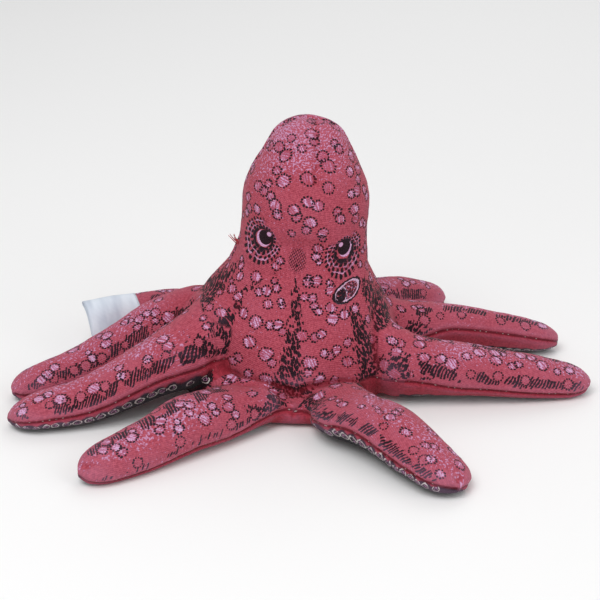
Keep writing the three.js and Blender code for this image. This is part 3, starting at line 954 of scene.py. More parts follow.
def print_marks(points, normals, slack, owner, places):
    """Lays out the spots of the upper side and the suckers of the undersides."""
    rng = np.random.default_rng(PRINT_SEED)
    marks = Marks(points, normals)
    across, up, front = Body.cloth_place(slack)
    coordinates = np.stack([across, up], -1)
    crowded = fleck_density(slack) > CROWDED
    for face in (front, ~front):
        body = (owner < 0) & face & (points[:, 2] > PLAIN_BELOW + 2)
        tree = pick_on(coordinates, body)

        def fits(a, b, radius, tree=tree):
            place, i, far = tree.find((a, b, 0))
            by_neck = NECK_LOW < points[i][2] < NECK_HIGH
            right_size = radius < NECK_SPOT if by_neck else radius > NECK_SPOT * 0.75
            open_cloth = not crowded[i] and (face is not front or clear_of_face(points[i], radius))
            return far < 1 and right_size and open_cloth

        low, high = (-50, 6), (50, up.max())
        for a, b, radius in scatter(rng, low, high, fits, BODY_SPOTS, BODY_SPOT_RADII, SPOT_ROOM):
            _, i, _ = tree.find((a, b, 0))
            level = np.array([-normals[i][1], normals[i][0], 1.2 * rng.uniform(-1, 1)])
            marks.place(i, level, radius, rng.choice(BODY_SPOT_FILLS), rng.uniform(1, SPOT_STRETCH))
    for number, (arm, place) in enumerate(zip(arms, places)):
        s, c, half, height = arm_cloth(arm, place)
        mine = owner == number
        flat = np.stack([s, c], -1)
        top = pick_on(flat, mine & (height > 0))
        bottom = pick_on(flat, mine & (height < 0))
        length = arm.length

        def on_top(b, a, radius, half_root=half[mine].max()):
            room = half_root * (1 - 0.45 * a / length)
            return abs(b) < room * 0.5

        low, high = (-14, 4), (14, length - 4)
        for b, a, radius in scatter(rng, low, high, on_top, ARM_SPOTS, ARM_SPOT_RADII, SPOT_ROOM):
            _, i, far = top.find((a, b, 0))
            if far < PANEL_EDGE:
                strong = min(0.95, (0.36 + 0.64 * a / length) * rng.uniform(0.75, 1.15))
                stretch = rng.uniform(1, SPOT_STRETCH)
                if b > 0 or not arm.bare[0] < a < arm.bare[1]:
                    marks.place(i, arm.heading, radius, strong, stretch)
        for side in (-1, 1):
            a = 10.0
            while a < length - 10:
                b = side * np.interp(a, [0, length], [0.7, 0.62]) * 17 * (1 - 0.42 * a / length)
                _, i, far = top.find((a, b, 0))
                if far < PANEL_EDGE and rng.uniform() < EDGE_SPOT_CHANCE:
                    marks.place(i, arm.heading, rng.uniform(*EDGE_SPOT_RADII), 0.0)
                a += rng.uniform(*EDGE_SPOT_STEPS)
        a, side = 6.0, 1
        while a < length - 3:
            size = np.interp(a, [0, length / 2, length], SUCKER_RADII)
            here = half[mine & (np.abs(s - a) < 2)].mean() * arm.sole[0 if side > 0 else 1]
            b = side * max(here - size * SUCKER_STEP, size)
            _, i, far = bottom.find((a, b, 0))
            if far < PANEL_EDGE:
                marks.place(i, arm.heading, size, SUCKER_FILL)
            side = -side
            a += size * SUCKER_STEP
    return marks.layers


def clear_of_face(point, radius):
    """Whether a spot there keeps clear of the eyes, the siphon and the patch between the eyes."""
    return all(np.linalg.norm(point - np.array(place)) > reach + radius for place, reach in FACE_CLEAR)


def fleck_density(points):
    """How full of ink flecks the front of the toy is at each point."""
    density = np.zeros(len(points))
    for line in FLECK_BANDS:
        for far, half_width, full in beside_line(points, line):
            density = np.maximum(density, full * (1 - smoothstep(far / half_width, 0.45, 1.25)))
    web = (points[:, 1] < -30) & (np.abs(points[:, 0]) < 16)
    density *= 1 - web * smoothstep(Body.outward(points), 0.5, 2)
    return density * (points[:, 1] < 4) * smoothstep(points[:, 2], PLAIN_BELOW - 1, PLAIN_BELOW + 1)


def set_attribute(mesh, name, values):
    """Stores numbers or vectors, one for each point."""
    kind = "FLOAT_VECTOR" if values.ndim == 2 else "FLOAT"
    attribute = mesh.attributes.new(name, kind, "POINT")
    field = "vector" if values.ndim == 2 else "value"
    attribute.data.foreach_set(field, values.astype(np.float32).ravel())


def print_attributes(points, normals, edges, slack, places):
    """What the cloth materials read, one value or vector for each point: first for the body, with
    number -1, and then for each arm by its number."""
    across, up, front = Body.cloth_place(slack)
    cloth = np.stack([across, up, np.where(front, 0.0, 1.0)], -1)
    base = slack[:, 2] < BASE_EDGE
    cloth[base, :2] = slack[base, :2]
    patchy = noise_at(points, 0.16)
    broad = 0.3 * noise_at(points, 0.055, 9.0)
    # How deep the cloth lies in a crease, for the painted shade
    smooth = plain_smooth(points, edges, 1.0, CREASE_ROUNDS)
    painted_crease_shade = np.clip(np.einsum("ij,ij->i", smooth - points, normals) / CREASE_DEPTH, -1, 1)
    flecks = fleck_density(slack)
    # Lilac specks all over the cloth, denser toward the crown as painted highlight
    speckle_and_highlight = 0.2 + 0.6 * smoothstep(slack[:, 2], 78, 101) + broad
    none = np.zeros(len(points))
    outward = Body.outward(slack)
    found = {-1: {
        "cloth": cloth, "painted_crease_shade": painted_crease_shade, "panel": slack[:, 2] - base_seam(slack),
        "ink": np.stack([flecks * np.clip(1.15 + patchy, 0, 1), none, np.clip(speckle_and_highlight, 0, 1)], -1),
        "strokes": np.stack([across + 0.25 * up, up, none], -1),
    }}
    for number, (arm, place) in enumerate(zip(arms, places)):
        s, c, half, height = arm_cloth(arm, place)
        side, on_top = c / half, height > 0
        hatch = none
        breaks = smoothstep(patchy + 0.15 * np.sin(s * 0.55 + number), -0.4, -0.08)
        for low, high, full in arm.hatch:
            band = smoothstep(side, low - 0.1, low + 0.1) * (1 - smoothstep(side, high - 0.1, high + 0.1))
            hatch = np.maximum(hatch, band * full * breaks)
        by_tip = smoothstep(s, arm.length - 8, arm.length - 3)
        hatch = hatch * on_top * smoothstep(s, 3, 12) * (1 - by_tip)
        root = 1 - smoothstep(s, 4, 16)
        patch = root * smoothstep(np.abs(side), 0.3, 0.55) * (1 - smoothstep(np.abs(side), 0.85, 0.95))
        flecks = patch * smoothstep(patchy, -0.4, 0) * on_top * arm.flecks
        # Along the top of the arm the lilac specks are denser, as painted highlight
        ridge = (1 - smoothstep(np.abs(side), 0.15, 0.5)) * smoothstep(s, 6, 26)
        slant = np.radians(STROKE_SLANT)
        share = np.where(c > 0, arm.sole[0], arm.sole[1]) / SOLE_SHARE
        found[number] = {
            "cloth": np.stack([s, c, np.full_like(s, 2.0 + number)], -1),
            "painted_crease_shade": painted_crease_shade, "panel": height,
            "ink": np.stack([flecks, hatch, np.clip(0.2 + 0.45 * ridge + broad, 0, 1)], -1),
            "strokes": np.stack([s * np.cos(slant) - c * np.sin(slant),
                                 s * np.sin(slant) + c * np.cos(slant), none], -1),
            "sole": np.stack([s, c, half * share], -1),
        }
        by_root = (s > ARM_PRINT_FROM) & (outward > 1) & (np.hypot(place["x"], place["y"]) < ARM_REACH)
        for key in ("cloth", "ink", "strokes", "panel"):
            found[-1][key][by_root] = found[number][key][by_root]
    return found


def cut_pieces(points, normals, faces, owner, attributes, layers):
    """Cuts the form into the body's skin and one skin for each arm. Each cut is closed by a shallow
    cap inside, so that every skin is a closed form."""
    face_owner = owner[faces]
    same = (face_owner == face_owner[:, :1]).all(axis=1)
    of_arm = face_owner.max(axis=1)
    mixed = (face_owner >= 0).all(axis=1) & ~same
    whose = np.where(same | mixed, of_arm, -1)
    pieces = {}
    for number in range(-1, len(arms)):
        chosen = faces[whose == number]
        used, local = np.unique(chosen.ravel(), return_inverse=True)
        local = local.reshape(-1, 4)
        new_points, new_faces = points[used], local.tolist()
        depth = BODY_CAP_DEPTH if number < 0 else ARM_CAP_DEPTH
        rims = open_rims(local)
        extra, extra_faces = [], []
        for rim in rims:
            middle = new_points[rim].mean(axis=0)
            arm = arms[number] if number >= 0 else min(
                arms, key=lambda a: np.linalg.norm((a.hinge + a.heading * CUT_AT - middle)[:2])
            )
            inner = len(new_points) + len(extra)
            count = len(rim)
            extra += list(new_points[rim] - normals[used][rim] * CAP_INSET)
            tip = inner + count
            extra.append(middle - arm.heading * depth)
            for i, (a, b) in enumerate(zip(rim, np.roll(rim, -1).tolist())):
                j, k = inner + i, inner + (i + 1) % count
                extra_faces += [[b, a, j, k], [k, j, tip]]
        if extra:
            new_points = np.vstack([new_points, extra])
        name = "body_skin" if number < 0 else arms[number].name + "_arm_skin"
        obj = mesh_of(name, new_points, new_faces + extra_faces)
        marks = {"spot_%d" % layer: values for layer, values in enumerate(layers)}
        for key, values in {**attributes[number], **marks}.items():
            padding = np.zeros((len(extra), *values.shape[1:]))
            set_attribute(obj.data, key, np.concatenate([values[used], padding]))
        kept = np.concatenate([normals[used], np.tile([0.0, 0.0, 1.0], (len(extra), 1))])
        obj.data.shade_smooth()
        obj.data.normals_split_custom_set_from_vertices(kept.tolist())
        pieces[number] = obj
    return pieces


def open_rims(faces):
    """The open edges of a mesh of quads, as loops of points in the order of the faces."""
    edges = np.concatenate([faces[:, [i, (i + 1) % 4]] for i in range(4)])
    known = set(map(tuple, edges.tolist()))
    follow = {}
    for a, b in edges.tolist():
        if (b, a) not in known:
            follow.setdefault(a, []).append(b)
    rims = []
    while follow:
        start = next(iter(follow))
        rim, here = [], start
        while here in follow:
            rim.append(here)
            following = follow[here].pop()
            if not follow[here]:
                del follow[here]
            here = following
            if here == start:
                break
        rims.append(rim)
    return rims


def step(operation, swapped=False):
    """A method that puts a value and others through a math node."""

    def method(self, *others):
        values = (*others, self) if swapped else (self, *others)
        return self.graph.math(operation, *values)

    return method


class Value:
    """A socket of a node tree, which sums can use. The bar takes the greater of two."""

    def __init__(self, graph, socket):
        self.graph = graph
        self.socket = socket

    __add__ = __radd__ = step("ADD")
    __mul__ = __rmul__ = step("MULTIPLY")
    __or__ = __ror__ = step("MAXIMUM")
    __sub__ = step("SUBTRACT")
    __rsub__ = step("SUBTRACT", swapped=True)
    __truediv__ = step("DIVIDE")
    __rtruediv__ = step("DIVIDE", swapped=True)
    __abs__ = step("ABSOLUTE")
    floor = step("FLOOR")
    fraction = step("FRACT")
    root = step("SQRT")
    sine = step("SINE")

    def ramp(self, low, high):
        """0 at low and 1 at high, smoothly; low may be above high."""
        return self.graph.node(
            "ShaderNodeMapRange", {"Value": self, "From Min": low, "From Max": high},
            interpolation_type="SMOOTHSTEP",
        )[0]


class Graph:
    """Short ways to write a node tree."""

    def __init__(self, tree):
        self.tree = tree

    def node(self, kind, inputs=None, **settings):
        """Adds a node and gives its outputs, by number and by name."""
        node = self.tree.nodes.new(kind)
        for key, value in settings.items():
            setattr(node, key, value)
        for key, value in (inputs or {}).items():
            self.feed(node.inputs[key], value)
        outputs = {}
        for number, socket in enumerate(node.outputs):
            outputs[number] = outputs[socket.name] = Value(self, socket)
        return outputs

    def feed(self, socket, value):
        if isinstance(value, Value):
            self.tree.links.new(value.socket, socket)
        else:
            socket.default_value = value

    def math(self, operation, *values):
        return self.node("ShaderNodeMath", dict(enumerate(values)), operation=operation)[0]

    def mix(self, factor, first, second):
        """A colour between two."""
        sockets = {MIX_FACTOR: factor, MIX_FIRST: first, MIX_SECOND: second}
        return self.node("ShaderNodeMix", sockets, data_type="RGBA")[MIX_COLOR]

    def parts(self, vector):
        outputs = self.node("ShaderNodeSeparateXYZ", {"Vector": vector})
        return outputs["X"], outputs["Y"], outputs["Z"]

    def vector(self, x, y, z=0.0):
        return self.node("ShaderNodeCombineXYZ", {"X": x, "Y": y, "Z": z})[0]

    def attribute(self, name, output=ATTRIBUTE_VECTOR):
        return self.node("ShaderNodeAttribute", attribute_name=name)[output]

    def noise(self, vector, scale, detail=2.0):
        return self.node("ShaderNodeTexNoise", {"Vector": vector, "Scale": scale, "Detail": detail})[0]

    def reach(self, x, y):
        """How far the place x, y is from zero."""
        return (x * x + y * y).root()

    def group(self, tree, **inputs):
        return self.node("ShaderNodeGroup", inputs, node_tree=tree)

    def surface(self, looks):
        """Ends a material with a shader that has these looks."""
        shader = self.node("ShaderNodeBsdfPrincipled", looks)
        self.node("ShaderNodeOutputMaterial", {"Surface": shader[0]})


class Group(Graph):
    """A node group that is given vectors and numbers, and gives numbers."""

    def __init__(self, name, vectors, numbers, results):
        super().__init__(bpy.data.node_groups.new(name, "ShaderNodeTree"))
        for label in vectors:
            self.tree.interface.new_socket(label, in_out="INPUT", socket_type="NodeSocketVector")
        for label in numbers:
            self.tree.interface.new_socket(label, in_out="INPUT", socket_type="NodeSocketFloat")
        for label in results:
            self.tree.interface.new_socket(label, in_out="OUTPUT", socket_type="NodeSocketFloat")
        self.given = self.node("NodeGroupInput")

    def give(self, **results):
        self.node("NodeGroupOutput", results)
        return self.tree


def weave_group():
    """Fine twill: diagonal ribs of thread and their unevenness, from cloth millimetres."""
    g = Group("Twill", ["Cloth"], ["Pitch"], ["Height", "Grain"])
    cloth = g.given["Cloth"]
    x, y, _ = g.parts(cloth)
    turn = 2 * math.pi / g.given["Pitch"]
    ribs = ((x * 0.22 + y) * turn).sine()
    threads = ((y * -0.3 + x) * turn).sine()
    height = ribs * 0.5 + threads * 0.25 + g.noise(cloth, 2.3, 3.0) * 0.9
    return g.give(Height=height, Grain=g.noise(cloth, 1.0, 4.0) + ribs * 0.07)


def spot_group():
    """One layer of ringed spots: the lilac fill, the dotted ring, and for suckers the rim and core."""
    g = Group("Ringed spot", ["Mark", "Cloth"], [], ["Fill", "Ring", "Rim", "Core", "Inside"])
    cloth = g.given["Cloth"]
    x, y, code = g.parts(g.given["Mark"])
    dots, strength = code.floor(), code.fraction()
    radius = dots * (DOT_PITCH / (2 * math.pi))
    reach = g.reach(x, y)
    far = reach + (g.noise(cloth, 0.6, 1.0) - 0.5) * 0.55
    turn = g.math("ARCTAN2", y, x) / (2 * math.pi) * dots
    beside = ((turn + dots).fraction() - 0.5) * DOT_PITCH
    outward = (far - 1.0) * radius
    uneven = g.noise(cloth, 0.75)
    size = uneven * 0.7
    off_dot = (beside * 0.85 * beside + outward * outward).root()
    streak = g.noise(g.vector((y * 0.7 + x) * (radius * 1.5), y * (radius * 0.2), code), 1.0, 1.0)
    ragged = (g.noise(cloth, 1.3, 1.0) - 0.5) * 0.7 + far
    full = strength * 0.85 + streak.ramp(0.45, 0.58) * 0.65
    worn = full * g.noise(cloth, 1.9).ramp(0.25, 0.55) * strength.ramp(0.02, 0.1)
    return g.give(
        Fill=ragged.ramp(0.92, 0.7) * g.math("MINIMUM", worn, 1.0),
        Ring=off_dot.ramp(size + 0.09, size - 0.05) * reach.ramp(1.7, 1.5),
        Rim=abs(far - 0.9).ramp(0.17, 0.08) * uneven.ramp(0.36, 0.5),
        Core=abs(far - 0.42).ramp(0.2, 0.1) * uneven.ramp(0.6, 0.45),
        Inside=far.ramp(1.12, 1.0),
    )


def strokes_group():
    """Short ink strokes, Spacing apart and Length long, drawn where Density lets them."""
    g = Group("Ink strokes", ["Place"], ["Density", "Spacing", "Length", "Scatter"], ["Ink"])
    place, density = g.given["Place"], g.given["Density"]
    x, y, _ = g.parts(place)
    waver = (g.noise(place, 0.7) - 0.5) * 1.1
    cell = g.vector((x + waver) / g.given["Spacing"], (y + waver) / g.given["Length"])
    cells = g.node(
        "ShaderNodeTexVoronoi", {"Vector": cell, "Scale": 1.0, "Randomness": g.given["Scatter"]},
        voronoi_dimensions="2D", feature="F1",
    )
    first, second, _ = g.parts(cells["Color"])
    drawn = (density - first * 0.92).ramp(0.0, 0.06)
    size = density * 0.12 + (second * 0.2 + 0.32)
    return g.give(Ink=cells["Distance"].ramp(size + 0.07, size - 0.05) * drawn)


def hatch_group():
    """Parallel ink strokes with uneven ends, drawn across a band where Density lets them."""
    g = Group("Ink hatching", ["Place"], ["Density", "Pitch"], ["Ink"])
    place = g.given["Place"]
    x, _, _ = g.parts(place)
    turns = x / g.given["Pitch"] + g.noise(place, 0.16, 0.0) * 1.6
    chance = g.node("ShaderNodeTexWhiteNoise", {"W": turns.floor()}, noise_dimensions="1D")
    rough = (g.noise(place, 0.9) - 0.5) * 0.8
    width = chance["Value"] * 0.16 + 0.26 + rough
    ends = g.parts(chance["Color"])[1] * 0.75 + 0.08
    drawn = (g.given["Density"] - ends).ramp(0.0, 0.08)
    return g.give(Ink=abs(turns.fraction() - 0.5).ramp(width + 0.1, width - 0.06) * drawn)


def eye_group():
    """An eye from millimetres about its pupil. Droop is the way that its rings lengthen, and Glint is
    the side of its highlight."""
    g = Group("Printed eye", ["Place", "Cloth", "Droop", "Glint"], [], ["Ink", "Lilac", "Clear"])
    cloth = g.given["Cloth"]
    x, y, _ = (part * (1 / EYE_SCALE) for part in g.parts(g.given["Place"]))
    droop_x, droop_y, _ = g.parts(g.given["Droop"])
    glint_x, glint_y, _ = g.parts(g.given["Glint"])
    far = g.reach(x, y)
    toward = (x * droop_x + y * droop_y) / (far + 0.3)
    ring = far * (1.0 - toward * 0.3) + (g.noise(cloth, 0.4, 1.0) - 0.5) * 1.5
    rough = (g.noise(cloth, 0.8) - 0.5) * 2.2
    angle = g.math("ARCTAN2", y, x)
    outer = toward.ramp(-0.75, -0.35) | ring.ramp(5.2, 4.6)

    def rings(table):
        drawn = 0.0
        for middle, half, count, low, high, turn in table:
            dashes = ((angle * count + turn).sine() + rough).ramp(low, high)
            drawn = abs(ring - middle).ramp(half + 0.12, half - 0.08) * dashes * outer | drawn
        return drawn

    highlight = g.reach(x - glint_x * 1.5, y - glint_y * 1.3).ramp(0.95, 0.7)
    crescent = g.reach(x + glint_x * 0.7, y + 0.5).ramp(2.88, 2.68) * far.ramp(2.35, 2.6)
    near = ring.ramp(7.8, 7.4)
    return g.give(
        Ink=(far.ramp(2.6, 2.4) | rings(EYE_INK)) * (1.0 - highlight) * near,
        Lilac=(highlight | crescent | rings(EYE_LILAC) * 0.75) * near,
        Clear=near,
    )


def siphon_group():
    """The printed siphon from millimetres about its middle."""
    g = Group("Printed siphon", ["Place", "Cloth"], [], ["Ink", "Pale", "Lilac", "Clear"])
    turned = g.node(
        "ShaderNodeVectorRotate", {"Vector": g.given["Place"], "Angle": math.radians(-14)},
        rotation_type="Z_AXIS",
    )[0]
    x, y, _ = g.parts(turned)
    rough = g.noise(g.given["Cloth"], 0.8)
    body = g.reach(x / 7.3, y / 4.1) + (rough - 0.5) * 0.25
    mouth = g.reach((x + 3.7) / 2.9, (y + 0.4) / 3.0)
    hole = mouth.ramp(0.88, 0.8) * rough.ramp(0.64, 0.56)
    shading = g.noise(turned, 1.1).ramp(0.44, 0.5) * body.ramp(0.78, 0.72)
    inner = abs(body - 0.83).ramp(0.08, 0.04) * hole.ramp(0.6, 0.2)
    inside = body.ramp(1.1, 1.04)
    return g.give(
        Ink=(abs(body - 1.0).ramp(0.14, 0.09) | hole | shading * 0.9) * inside,
        Pale=(inner | abs(mouth - 1.02).ramp(0.13, 0.08)) * inside,
        Lilac=body.ramp(0.9, 0.8) * rough.ramp(0.5, 0.38),
        Clear=body.ramp(1.25, 1.12),
    )


def cloth_offset(g, cloth, place):
    """Cloth millimetres from a place on the front of the body."""
    across, up, _ = Body.cloth_place(np.array([place]))
    return g.node("ShaderNodeVectorMath", {0: cloth, 1: (across[0], up[0], 0)}, operation="SUBTRACT")[0]


def lines_on(x, y, degrees, pitch, thickness):
    """Straight ink lines at an angle."""
    turn = math.radians(degrees)
    along_lines = x * math.cos(turn) + y * math.sin(turn)
    return abs((along_lines * (math.pi / pitch)).sine()).ramp(thickness, thickness * 0.6)


def new_material(name):
    material = bpy.data.materials.new(name)
    material.use_nodes = True
    material.node_tree.nodes.clear()
    return material, Graph(material.node_tree)


def printed_spots(g, groups, cloth):
    """The layers of ringed spots laid over each other, as one value for each part of a spot."""
    found = {"Fill": 0.0, "Ring": 0.0, "Rim": 0.0, "Core": 0.0, "Inside": 0.0}
    for layer in range(MARK_LAYERS):
        spot = g.group(groups["spot"], Mark=g.attribute("spot_%d" % layer), Cloth=cloth)
        found = {part: spot[part] | value for part, value in found.items()}
    return found


def with_face(g, groups, cloth, grain, ink, lilac):
    """The eyes, the siphon and the patch between the eyes, over the ink and lilac of the cloth."""
    on_front = g.parts(cloth)[2].ramp(0.6, 0.4)
    for place, droop, glint in EYES:
        eye = g.group(
            groups["eye"], Place=cloth_offset(g, cloth, place), Cloth=cloth, Droop=droop, Glint=glint
        )
        rest = 1.0 - eye["Clear"] * on_front
        ink, lilac = (ink * rest | eye["Ink"] * on_front, lilac * rest | eye["Lilac"] * on_front)
    siphon = g.group(groups["siphon"], Place=cloth_offset(g, cloth, SIPHON), Cloth=cloth)
    rest = 1.0 - siphon["Clear"] * on_front
    ink, lilac = (ink * rest | siphon["Ink"] * on_front, lilac * rest | siphon["Lilac"] * on_front)
    x, y, _ = g.parts(cloth_offset(g, cloth, HATCHED_PATCH))
    patch = (g.reach(x / 4.2, y / 5.0) + grain * 0.5).ramp(1.3, 1.0) * on_front
    net = lines_on(x, y, 28, 0.85, 0.5) | lines_on(x, y, -52, 0.95, 0.45)
    return ink | patch * net, lilac, siphon["Pale"] * on_front


def printed_cotton(groups, name, on_arm):
    """Printed cotton: red ground, lilac specks that are partly painted highlight, ringed spots, ink
    strokes and painted shade in creases. On the body it has the face, and on an arm it has the
    underside's suckers and the sewn edge."""
    look = bpy.context.scene.octopus_print
    material, g = new_material(name)
    cloth, strokes = g.attribute("cloth"), g.attribute("strokes")
    flecks, hatch, speckle_and_highlight = g.parts(g.attribute("ink"))
    weave = g.group(groups["weave"], Cloth=cloth, Pitch=look.weave_pitch / MM)
    grain = weave["Grain"]
    color = g.mix(grain.ramp(0.3, 0.72), look.ground_dark, look.ground_light)
    color = g.mix(g.noise(cloth, 0.06).ramp(0.35, 0.75) * 0.25, color, look.ground_faded)
    # Lilac specks of the cloth, with more of them on the crown and along the tops of the arms as painted
    # highlight
    level = speckle_and_highlight * -0.27 + 0.7
    lilac_specks_and_highlight = g.noise(cloth, 1.25, 3.0).ramp(level, level + 0.06) * 0.8
    spot = printed_spots(g, groups, cloth)
    fleck = g.group(groups["strokes"], Place=strokes, Density=flecks, Spacing=FLECK_SPACING,
                    Length=FLECK_LENGTH, Scatter=0.95)["Ink"]
    stroke = g.group(groups["hatch"], Place=strokes, Density=hatch, Pitch=HATCH_PITCH)["Ink"]
    ink = (fleck | stroke) * (1.0 - spot["Inside"]) | spot["Ring"]
    lilac = lilac_specks_and_highlight * (1.0 - spot["Inside"] * 0.7) | spot["Fill"]
    pale = 0.0
    if not on_arm:
        ink, lilac, pale = with_face(g, groups, cloth, grain, ink, lilac)
    bright = (grain * 0.6 + lilac).ramp(0.75, 1.3)
    color = g.mix(lilac, color, g.mix(bright, look.spot_dark, look.spot_light))
    color = g.mix(pale * 0.85, color, look.pale)
    color = g.mix(ink * 0.97, color, look.ink)
    color = with_sole(g, color, cloth, grain, spot, look, on_arm)
    # Painted shade: deep red where the cloth lies in a crease, and a little paler towards lilac where it
    # bulges out
    painted_crease_shade = g.attribute("painted_crease_shade", ATTRIBUTE_NUMBER)
    color = g.mix(painted_crease_shade.ramp(0.05, 0.75) * 0.6, color, look.painted_crease_shade)
    color = g.mix(painted_crease_shade.ramp(-0.05, -0.8) * 0.14, color, look.spot_light)
    height = weave["Height"] + ink * -0.4
    bump = g.node("ShaderNodeBump", {"Strength": 0.55, "Distance": 0.0002, "Height": height})
    g.surface({
        "Base Color": color, "Roughness": grain * 0.14 + 0.76, "Normal": bump[0], "Sheen Weight": 0.08,
        "Sheen Roughness": 0.45, "Specular IOR Level": 0.15,
    })
    return material


def with_sole(g, color, cloth, grain, spot, look, on_arm):
    """The cloth below the seams, with its suckers on an arm, and the seams themselves."""
    height = g.attribute("panel", ATTRIBUTE_NUMBER)
    below = g.mix(grain.ramp(0.3, 0.7), look.margin_dark, look.margin_light)
    if on_arm:
        s, across, half = g.parts(g.attribute("sole"))
        scallop = abs((s * (math.pi / SCALLOP_PITCH)).sine())
        edge = scallop * 0.07 + SOLE_SHARE + (grain - 0.5) * 0.08
        lilac = g.mix(grain.ramp(0.3, 0.7), look.spot_dark, look.spot_light)
        sucker = g.mix(spot["Core"] * 0.7, look.ink, lilac)
        sucker = g.mix(spot["Rim"] * 0.8, sucker, look.sucker_rim)
        below = g.mix((abs(across) / half - edge).ramp(0.03, -0.03), below, sucker)
    color = g.mix(height.ramp(0.1, -0.1), color, below)
    near = abs(height)
    color = g.mix(near.ramp(0.75, 0.25) * 0.8, color, look.seam)
    stitch = (g.parts(cloth)[0] * (2 * math.pi / STITCH_PITCH)).sine()
    thread = stitch.ramp(0.6, 0.85) * near.ramp(0.26, 0.12) * g.noise(cloth, 0.35).ramp(0.48, 0.6)
    return g.mix(thread * 0.4, color, look.sucker_rim)


def satin():
    """White satin ribbon with fine ribs across it, and painted shade of long soft folds along it."""
    look = bpy.context.scene.octopus_print
    material, g = new_material("label_satin")
    ribbon = g.attribute("ribbon")
    x, y, _ = g.parts(ribbon)
    ribs = (y * (2 * math.pi / RIB_PITCH)).sine()
    # Long soft streaks of painted shade for the ribbon's folds, which also vary its roughness
    painted_fold_shade = g.noise(g.vector(x * 0.16, y * 0.05), 1.0)
    color = g.mix(ribs * 0.14 + painted_fold_shade.ramp(0.2, 0.75), look.label_weave_and_shade, look.label)
    edge = abs(x).ramp(LABEL_WIDTH / 2 - 1.1, LABEL_WIDTH / 2 - 0.8)
    color = g.mix(edge * 0.35, color, look.label_weave_and_shade)
    height = ribs * 0.5 + g.noise(ribbon, 3.0)
    bump = g.node("ShaderNodeBump", {"Strength": 0.35, "Distance": 0.0001, "Height": height})
    g.surface({
        "Base Color": color, "Roughness": painted_fold_shade * 0.2 + 0.3, "Normal": bump[0], "Sheen Weight": 0.15,
        "Specular IOR Level": 0.5,
    })
    return material


def thread_fibre():
    """Red sewing thread with a twist."""
    look = bpy.context.scene.octopus_print
    material, g = new_material("sewing_thread")
    x, y, _ = g.parts(g.attribute("twist"))
    turns = (x * 14.0 + y * 2.0).sine()
    bump = g.node("ShaderNodeBump", {"Strength": 0.6, "Distance": 0.0001, "Height": turns})
    g.surface({
        "Base Color": g.mix(turns.ramp(-0.6, 0.6), look.margin_light, look.thread), "Roughness": 0.8,
        "Normal": bump[0], "Sheen Weight": 0.3,
    })
    return material


def make_skins():
    """The skins of the body and arms, sewn, puffed, printed and cut."""
    rough = stuffed_form()
    form, slack = fine_form(rough, *puffed(rough))
    points = points_of(form)
    points = lumpy(points, normals_of(form))
    points = folded(points, normals_of(form))
    put_points(form, points)
    points = sewn(points, normals_of(form), slack)
    points[:, 2] = np.maximum(points[:, 2], 0)
    put_points(form, points)
    normals, edges = normals_of(form), edges_of(form)
    faces = np.empty(len(form.loops), np.int32)
    form.loops.foreach_get("vertex_index", faces)
    faces = faces.reshape(-1, 4)
    places = [arm.locate(slack) for arm in arms]
    owner = owners(slack, places)
    attributes = print_attributes(points, normals, edges, slack, places)
    layers = print_marks(points, normals, slack, owner, places)
    pieces = cut_pieces(points, normals, faces, owner, attributes, layers)
    groups = {
        "weave": weave_group(), "spot": spot_group(), "strokes": strokes_group(), "hatch": hatch_group(),
        "eye": eye_group(), "siphon": siphon_group(),
    }
    on_body = printed_cotton(groups, "printed_cotton_body", False)
    on_arms = printed_cotton(groups, "printed_cotton_arms", True)
    body_skin = pieces[-1]
    body_skin.data.materials.append(on_body)
    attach(body_skin, "body")
    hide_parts("front_panel", "back_panel", "base_panel", "head_stuffing", "body_stuffing")
    for number, arm in enumerate(arms):
        skin = pieces[number]
        skin.data.materials.append(on_arms)
        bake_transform(skin)
        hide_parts(arm.name + "_arm_top", arm.name + "_arm_underside", arm.name + "_arm_stuffing")


def label_middle(s):
    """How far the label's middle line has turned over and risen at s along it."""
    straight = LABEL_HEIGHT / 2
    radius = straight / math.radians(LABEL_CURL)
    angle = max(s - straight, 0) / radius
    return -radius * (1 - math.cos(angle)), min(s, straight) + radius * math.sin(angle)


